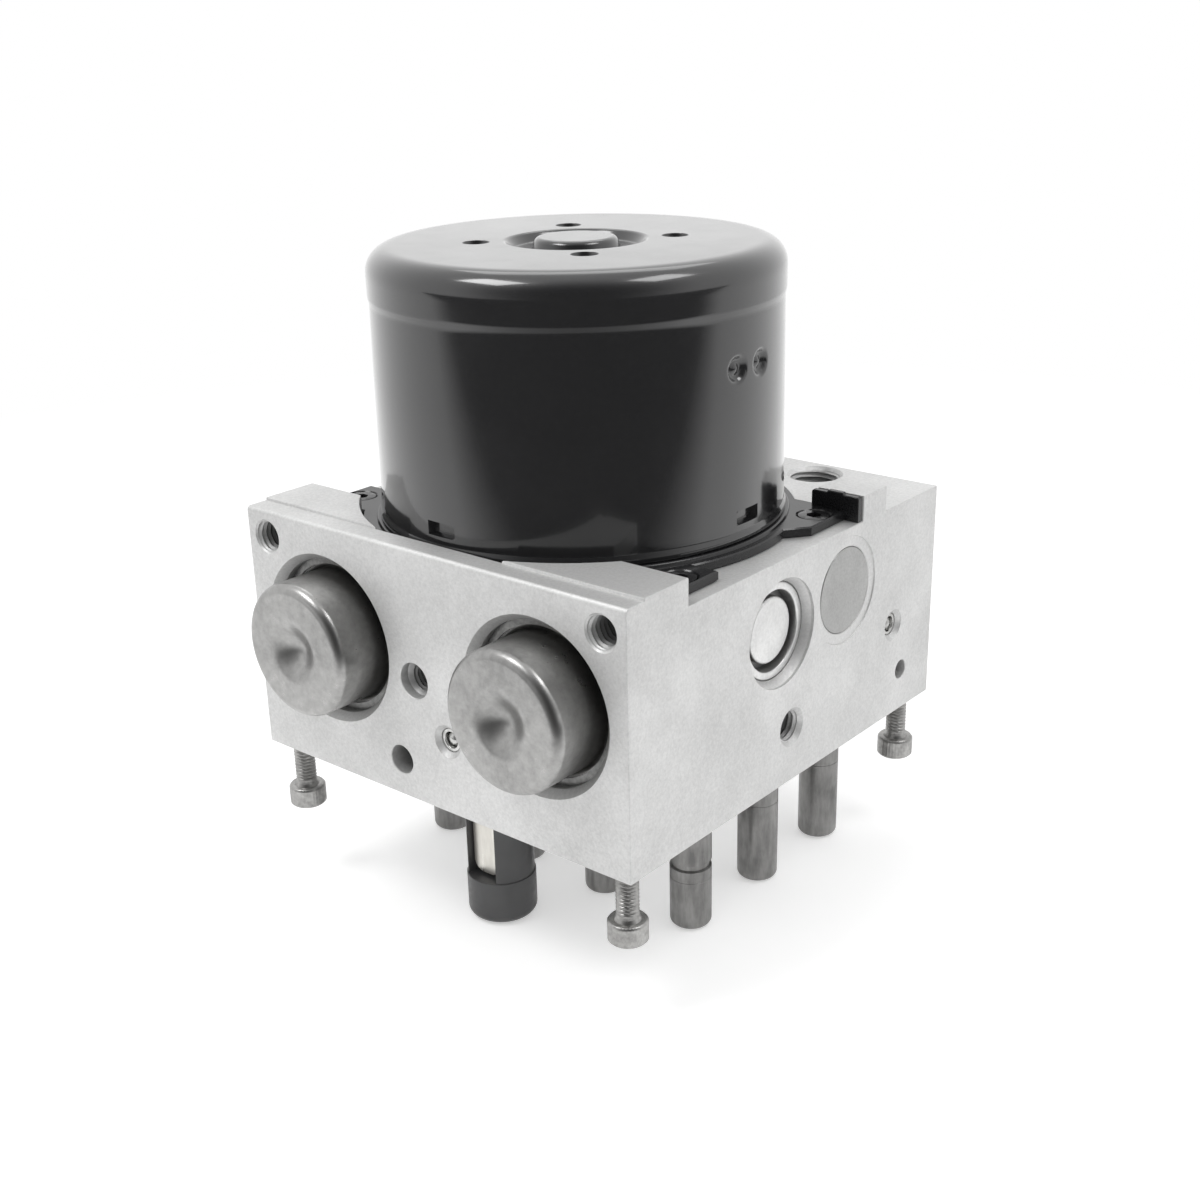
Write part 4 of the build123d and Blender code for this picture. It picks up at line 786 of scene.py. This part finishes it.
# Accumulator cups and rings
CUP_R, CUP_IN, CUP_FACE, CUP_INSIDE, CUP_NOSE = 12.4, 11.0, 8.2, 6.5, 1.75
FLANGE_R, FLANGE_OUT, FLANGE_IN = 14.57, -4.2, -5.6
DIMPLE_R, DIMPLE_DEPTH, DIMPLE_STEP = 6.6, 2.6, 0.12
RING_IN, RING_OUT, RING_GAP = 13.3, 15.37, 0.22
for side in SIDES:
    cup = Shape()
    dish = [(DIMPLE_STEP * k, CUP_FACE - DIMPLE_DEPTH * 0.5 * (1 + cos(pi * DIMPLE_STEP * k / DIMPLE_R)))
            for k in range(56)]
    profile = dish + rounded([(6.8, CUP_FACE), (CUP_R, CUP_FACE), (CUP_R, FLANGE_OUT), (FLANGE_R, FLANGE_OUT),
                              (FLANGE_R, FLANGE_IN), (CUP_IN, FLANGE_IN), (CUP_IN, CUP_INSIDE)],
                             [0, CUP_NOSE, 0.8, 0.3, 0, 0, 0], 9)
    profile += [(6.0, CUP_INSIDE), (2.0, 4.5), (0, 4.5)]
    cup.lathe(profile, (side * ACC_X, FRONT, ACC_Z), (0, -1, 0), 192)
    place(cup.make(f"cup_{SIDE_NAMES[side]}", MATS["cup_steel"]), f"accumulator_cup_{SIDE_NAMES[side]}",
          slot="cup_steel")
rings = Shape()
for side in SIDES:
    section = [(RING_IN, -4.2), (RING_IN, -2.9), (RING_OUT, -2.9), (RING_OUT, -4.2), (RING_IN, -4.2)]
    rings.lathe(section, (side * ACC_X, FRONT, ACC_Z), (0, -1, 0), 96,
                span=(pi + RING_GAP, 3 * pi - RING_GAP))
place(rings.make("cup_rings", MATS["ring_steel"]), "accumulator_rings", slot="ring_steel")

# Plugs in the side faces
PLUG_R, PLUG_DISC, PLUG_RIM, PLUG_FACE, PLUG_FLOOR = 8.9, 6.1, 7.4, -2.5, -4.5
DAMPER_DISC, DAMPER_FACE = 8.1, -0.25
for side in SIDES:
    name = SIDE_NAMES[side]
    plug = Shape()
    plug.lathe([(0, PLUG_FACE)] + rounded([(0.5, PLUG_FACE), (PLUG_DISC, PLUG_FACE), (PLUG_DISC, PLUG_FLOOR),
                                           (PLUG_RIM, PLUG_FLOOR), (PLUG_RIM, -PUMP_MOUTH_END),
                                           (PLUG_R, -PUMP_MOUTH_END), (PLUG_R, -PLUG_END), (0, -PLUG_END)],
                                          [0, 0.5, 0, 0, 0.3, 0.4, 0, 0], 5),
               (side * HALF_W, MOTOR_Y, PUMP_Z), (side, 0, 0), 128)
    # the groove round the plug's button gets painted shade, darkened towards the bore tone
    groove_shade = [float(abs(p.x) < HALF_W - 3.0 and hypot(p.y - MOTOR_Y, p.z - PUMP_Z) > 6.0)
              for p in plug.points]
    place(plug.make(f"pump_plug_face_{name}", MATS["plug_aluminium"], painted_shade_amounts=groove_shade), f"pump_plug_{name}",
          slot="plug_aluminium")
    disc = Shape()
    disc.lathe([(0, DAMPER_FACE)] + rounded([(0.5, DAMPER_FACE), (DAMPER_DISC, DAMPER_FACE),
                                             (DAMPER_DISC, -DAMPER_SEAT), (0, -DAMPER_SEAT)],
                                            [0, 0.25, 0, 0], 4),
               (side * HALF_W, DAMPER_Y, DAMPER_Z), (side, 0, 0), 128)
    place(disc.make(f"damper_disc_{name}", MATS["damper_aluminium"]), f"damper_plug_{name}",
          slot="plug_aluminium")

BALL_R, BALL_AT, SHELL_R, SHELL_FACE, SHELL_END = 1.48, -2.4, 2.2, -0.9, -5.9
balls = Shape()
for point, out in [(FRONT_BALL, (0, -1, 0))] + [((side * HALF_W, SIDE_BALL_Y, SIDE_BALL_Z), (side, 0, 0))
                                                for side in SIDES]:
    ball = [(BALL_R * sin(pi / 2 * k / 8), BALL_AT + BALL_R * cos(pi / 2 * k / 8)) for k in range(9)]
    balls.lathe(ball + rounded([(1.5, BALL_AT), (1.5, SHELL_FACE), (SHELL_R, SHELL_FACE),
                                (SHELL_R, SHELL_END), (0, SHELL_END)], [0, 0.15, 0.2, 0, 0], 3),
                point, out, 64)
place(balls.make("ball_plug_faces", MATS["plug_steel"]), "ball_plugs", slot="plug_steel")

# Valve stems: the tube below the block, its collar, and the valve body in its bore
STEM_R, COLLAR_R, VALVE_R, SEAT_R = 3.9, 4.1, 5.0, 3.17
COLLAR_Z, VALVE_Z, SEAT_Z, VALVE_END = 20.9, 28.8, 40.5, 45.5
OUTLET_LINES = [(STEM_R, 16.35), (3.82, 16.4), (3.82, 16.6), (STEM_R, 16.65)]
INLET_LINES = [(STEM_R, 9.9), (3.84, 9.95), (3.84, 10.1), (STEM_R, 10.15), (STEM_R, 12.2), (3.45, 12.45),
               (3.45, 13.35), (STEM_R, 13.6), (STEM_R, 19.0), (3.82, 19.1), (3.82, 20.0), (STEM_R, 20.1)]
for name, x, y in VALVES:
    stem = Shape()
    low = [(0, 0), (STEM_R, 0)] + (INLET_LINES if name.startswith("inlet") else OUTLET_LINES)
    profile = rounded(low + [(STEM_R, COLLAR_Z), (COLLAR_R, COLLAR_Z + 0.05), (COLLAR_R, VALVE_Z),
                             (VALVE_R, VALVE_Z), (VALVE_R, SEAT_Z), (SEAT_R, SEAT_Z), (SEAT_R, VALVE_END),
                             (0, VALVE_END)],
                      [0, 1.2] + [0] * (len(low) + 1) + [0.3, 0.3, 0, 0, 0, 0], 7)
    stem.lathe(profile, (x, y, 0), UP, 96)
    place(stem.make(name.replace("valve", "stem"), MATS["stem_steel"], sharp=28), name, slot="stem_steel")

# Screws for the electronic part
HEAD_TOP, HEAD_H, HEAD_R, HEAD_FACE_R = BOTTOM - 9.6, 4.0, 3.5, 1.74
SHANK_R, SHANK_PITCH, SHANK_TOP, KNURLS, KNURL_DEPTH = 2.0, 0.7, BOTTOM + 11.0, 36, 0.06
HEAD_LOW = HEAD_TOP - HEAD_H
ridges = thread(SHANK_PITCH, 0.3, HEAD_TOP + 0.9, SHANK_TOP)


def knurl(a, r, h):
    ends = min(1.0, max(0.0, (h - HEAD_LOW - 0.3) / 0.3), max(0.0, (HEAD_TOP - h - 0.3) / 0.3))
    return r - (KNURL_DEPTH * (0.5 + 0.5 * cos(KNURLS * a)) * ends if r > 3.4 else 0)


ecu = Shape()
for x, y in SCREWS:
    side_wall = [(HEAD_R, HEAD_LOW + 0.35 + 0.3 * k) for k in range(12)]
    ecu.lathe([(HEAD_FACE_R, HEAD_LOW), (3.15, HEAD_LOW)] + side_wall
              + [(3.2, HEAD_TOP), (2.35, HEAD_TOP), (2.05, HEAD_TOP + 0.6)], (x, y, 0), UP, 144, knurl)
    shank = [(2.05, HEAD_TOP + 0.6)] + ladder(SHANK_R, HEAD_TOP + 0.9, SHANK_TOP, SHANK_PITCH, 6)
    ecu.lathe(shank + [(0, SHANK_TOP + 0.5)], (x, y, 0), UP, 40,
              lambda a, r, h: ridges(a, r, h) if r == SHANK_R else r)
    hex_socket(ecu, x, y, 3.0, HEAD_FACE_R, 144, HEAD_LOW, HEAD_LOW + 2.0, True)
place(ecu.make("ecu_screw_set", MATS["screw_zinc"], sharp=50), "ecu_screws", slot="screw_zinc")

# Connector post and terminals
POST_R, POST_SHANK, SLOT_END, POST_SLOT_HALF, POST_WEB_HALF = 6.5, 6.25, 8.7, 3.45, 3.0
post = Shape()
post.lathe(rounded([(0, 0), (POST_R, 0), (POST_R, SLOT_END), (0, SLOT_END)], [0, 1.7, 0.2, 0], 8),
           (0, POST_Y, 0), UP, 128)
reach = sqrt(POST_SHANK ** 2 - POST_SLOT_HALF ** 2)
start, end = atan2(-reach, POST_SLOT_HALF), atan2(reach, POST_SLOT_HALF)
side_arc = [(POST_SHANK * cos(t), POST_SHANK * sin(t))
            for t in (start + (end - start) * k / 40 for k in range(41))]
body = side_arc + [(POST_SLOT_HALF, POST_WEB_HALF), (-POST_SLOT_HALF, POST_WEB_HALF)]
body += ([(-x, -y) for x, y in side_arc]
         + [(-POST_SLOT_HALF, -POST_WEB_HALF), (POST_SLOT_HALF, -POST_WEB_HALF)])
post_low = SLOT_END - 0.2
post.prism([to_plane([(x, y + POST_Y) for x, y in body])], (0, 0, post_low), UP, PLATE_TOP - post_low)
place(post.make("post", MATS["post_plastic"], sharp=30), "connector_post", slot="post_plastic")

STRIP_HALF, STRIP_T, STRIP_ROUND = 3.15, 0.9, 2.3
strip_low, strip_high = SLOT_END + 0.5, PLATE_TOP + 2.6
quarter = [(STRIP_ROUND * cos(pi / 2 * k / 8), STRIP_ROUND * sin(pi / 2 * k / 8)) for k in range(9)]
strips = Shape()
for way in SIDES:
    tip = [(STRIP_HALF, strip_high), (-STRIP_HALF, strip_high)]
    tip += [(STRIP_ROUND - STRIP_HALF - c, strip_low + STRIP_ROUND - q) for c, q in quarter]
    tip += [(STRIP_HALF - STRIP_ROUND + q, strip_low + STRIP_ROUND - c) for c, q in quarter]
    strips.prism([to_wall(tip, way)], (0, POST_Y + way * POST_WEB_HALF, 0), (0, way, 0), STRIP_T, 0.12)
place(strips.make("terminal_strips", MATS["terminal_tin"]), "motor_terminals", slot="terminal_tin")


# Springs: each is copied as it stands into an object of its own, in place of its CAD part
def pressed(node_name):
    node = frame["nodes"][node_name]
    obj = bpy.data.objects.new(f"{node_name}_coil", node.data.copy())
    bpy.context.scene.collection.objects.link(obj)
    obj.matrix_world = node.matrix_world.copy()
    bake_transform(obj)
    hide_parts(node_name)


for side in SIDES:
    name = SIDE_NAMES[side]
    pressed(f"accumulator_spring_{name}")
    pressed(f"pump_spring_{name}")
    pressed(f"brush_spring_{name}")


# Floor, backdrop, lights and camera. Distances are in metres from here on.
FLOOR_SIZE, FLOOR_Z, FLOOR_TONE = 8.0, -0.0002, 0.86
LIFT, WHITE_FROM, WHITE_FULL = 0.42, 0.10, 0.45
FLOOR_ROOM_WAY, FLOOR_ROOM_FROM, FLOOR_ROOM_FULL, FLOOR_ROOM_TONE = (0.64, -0.77, 0), 0.12, 0.24, 0.08
ROOM_WAY, ROOM_FROM, ROOM_FULL, ROOM_TONE = (0.60, -0.72, 0.35), 0.35, 1.0, 0.06
SKY_LIGHT = 0.6


def seen(tree):
    """1 for what the camera, a mirror or glass looks at, and 0 for light that falls on matt surfaces."""
    path = tree.nodes.new("ShaderNodeLightPath")
    total = path.outputs["Is Camera Ray"]
    for name in ("Is Glossy Ray", "Is Transmission Ray"):
        node = tree.nodes.new("ShaderNodeMath")
        node.operation = "MAXIMUM"
        tree.links.new(total, node.inputs[0])
        tree.links.new(path.outputs[name], node.inputs[1])
        total = node.outputs[0]
    return total, path.outputs["Is Camera Ray"]


bpy.ops.mesh.primitive_plane_add(size=FLOOR_SIZE, location=(0, 0, FLOOR_Z))
floor = bpy.context.object
floor.name = "floor"
paper = Shader("floor_white", (FLOOR_TONE, FLOOR_TONE, FLOOR_TONE), 0.0, 0.9)
looked_at, _ = seen(paper.tree)
# mirrors see the floor darken towards the dim room in front of the table
frontward = paper.node("ShaderNodeVectorMath", {"operation": "DOT_PRODUCT"})
frontward.inputs[1].default_value = FLOOR_ROOM_WAY
paper.tree.links.new(paper.coords, frontward.inputs[0])
mirror = paper.node("ShaderNodeLightPath").outputs["Is Glossy Ray"]
dim = paper.math("MULTIPLY", mirror,
                 paper.spread(frontward.outputs["Value"], 0.0, 1.0, FLOOR_ROOM_FROM, FLOOR_ROOM_FULL))
away = paper.node("ShaderNodeVectorMath", {"operation": "LENGTH"})
paper.tree.links.new(paper.coords, away.inputs[0])
far = paper.spread(away.outputs["Value"], 0.0, 1.0, WHITE_FROM, WHITE_FULL)
# near the object the floor keeps its shadow, and further out it fades to plain white
glow = paper.node("ShaderNodeEmission", Color=(1, 1, 1, 1), Strength=1.0)
lift = paper.node("ShaderNodeEmission", Color=(1, 1, 1, 1), Strength=1.0)
paper.tree.links.new(paper.math("MULTIPLY", looked_at, LIFT), lift.inputs["Strength"])
near = paper.tree.nodes.new("ShaderNodeAddShader")
paper.tree.links.new(paper.bsdf.outputs[0], near.inputs[0])
paper.tree.links.new(lift.outputs[0], near.inputs[1])
blend = paper.tree.nodes.new("ShaderNodeMixShader")
paper.tree.links.new(paper.math("MULTIPLY", looked_at, far), blend.inputs[0])
paper.tree.links.new(near.outputs[0], blend.inputs[1])
paper.tree.links.new(glow.outputs[0], blend.inputs[2])
shade = paper.node("ShaderNodeEmission", Color=(1, 1, 1, 1), Strength=FLOOR_ROOM_TONE)
front = paper.tree.nodes.new("ShaderNodeMixShader")
paper.tree.links.new(dim, front.inputs[0])
paper.tree.links.new(blend.outputs[0], front.inputs[1])
paper.tree.links.new(shade.outputs[0], front.inputs[2])
paper.tree.links.new(front.outputs[0], paper.tree.nodes["Material Output"].inputs["Surface"])
floor.data.materials.append(paper.mat)

world = bpy.data.worlds.new("studio")
bpy.context.scene.world = world
world.use_nodes = True
wt = world.node_tree
background = wt.nodes["Background"]
background.inputs["Color"].default_value = (1, 1, 1, 1)
looked_at, by_camera = seen(wt)
# mirrors see white all round, apart from the dim room in front of the table
coords = wt.nodes.new("ShaderNodeTexCoord")
facing = wt.nodes.new("ShaderNodeVectorMath")
facing.operation = "DOT_PRODUCT"
facing.inputs[1].default_value = ROOM_WAY
wt.links.new(coords.outputs["Generated"], facing.inputs[0])
room = wt.nodes.new("ShaderNodeMapRange")
room.interpolation_type = "SMOOTHSTEP"
for socket, number in (("From Min", ROOM_FROM), ("From Max", ROOM_FULL), ("To Min", 1.0),
                       ("To Max", ROOM_TONE)):
    room.inputs[socket].default_value = number
wt.links.new(facing.outputs["Value"], room.inputs["Value"])
plain = wt.nodes.new("ShaderNodeMath")
plain.operation = "MAXIMUM"
wt.links.new(by_camera, plain.inputs[0])
wt.links.new(room.outputs["Result"], plain.inputs[1])
level = wt.nodes.new("ShaderNodeMapRange")
level.inputs["To Min"].default_value = SKY_LIGHT
wt.links.new(plain.outputs[0], level.inputs["To Max"])
wt.links.new(looked_at, level.inputs["Value"])
wt.links.new(level.outputs["Result"], background.inputs["Strength"])


def lamp(name, place_at, width, height, power):
    """A soft rectangular lamp that looks at the unit."""
    data = bpy.data.lights.new(name, "AREA")
    data.energy = power
    data.shape = "RECTANGLE"
    data.size = width
    data.size_y = height
    obj = bpy.data.objects.new(name, data)
    obj.location = place_at
    obj.rotation_euler = (Vector(LAMP_AIM) - Vector(place_at)).to_track_quat("-Z", "Y").to_euler()
    bpy.context.scene.collection.objects.link(obj)


LAMP_AIM = (0, 0, 0.1)
lamp("back_soft", (-0.42, 0.55, 1.05), 0.8, 0.4, 1.4)
lamp("left_soft", (-0.27, -0.47, 0.95), 0.42, 0.3, 3.1)
lamp("right_soft", (0.52, 0.19, 0.98), 0.42, 0.3, 1.9)

# the camera fitted to the photograph, with its place in millimetres and its focal length in pixels
FOCAL, PHOTO_WIDTH, SENSOR = 1611.19, 1200.0, 36.0
CAM_AT = Vector((186.337, -218.185, 163.454)) * MM
AZ, EL, ROLL = radians(40.121), radians(20.887), radians(-1.399)
back = Vector((sin(AZ) * cos(EL), -cos(AZ) * cos(EL), sin(EL)))
right = (-back).cross(Vector((0, 0, 1))).normalized()
up = right.cross(-back)
right_r = right * cos(ROLL) + up * sin(ROLL)
up_r = up * cos(ROLL) - right * sin(ROLL)
camera_data = bpy.data.cameras.new("camera")
camera = bpy.data.objects.new("camera", camera_data)
bpy.context.scene.collection.objects.link(camera)
camera.matrix_world = Matrix((
    (right_r.x, up_r.x, back.x, CAM_AT.x),
    (right_r.y, up_r.y, back.y, CAM_AT.y),
    (right_r.z, up_r.z, back.z, CAM_AT.z),
    (0, 0, 0, 1)))
camera_data.sensor_width = SENSOR
camera_data.lens = FOCAL * SENSOR / PHOTO_WIDTH
camera_data.clip_start = 0.01
bpy.context.scene.camera = camera

bpy.context.scene.view_settings.view_transform = "Standard"
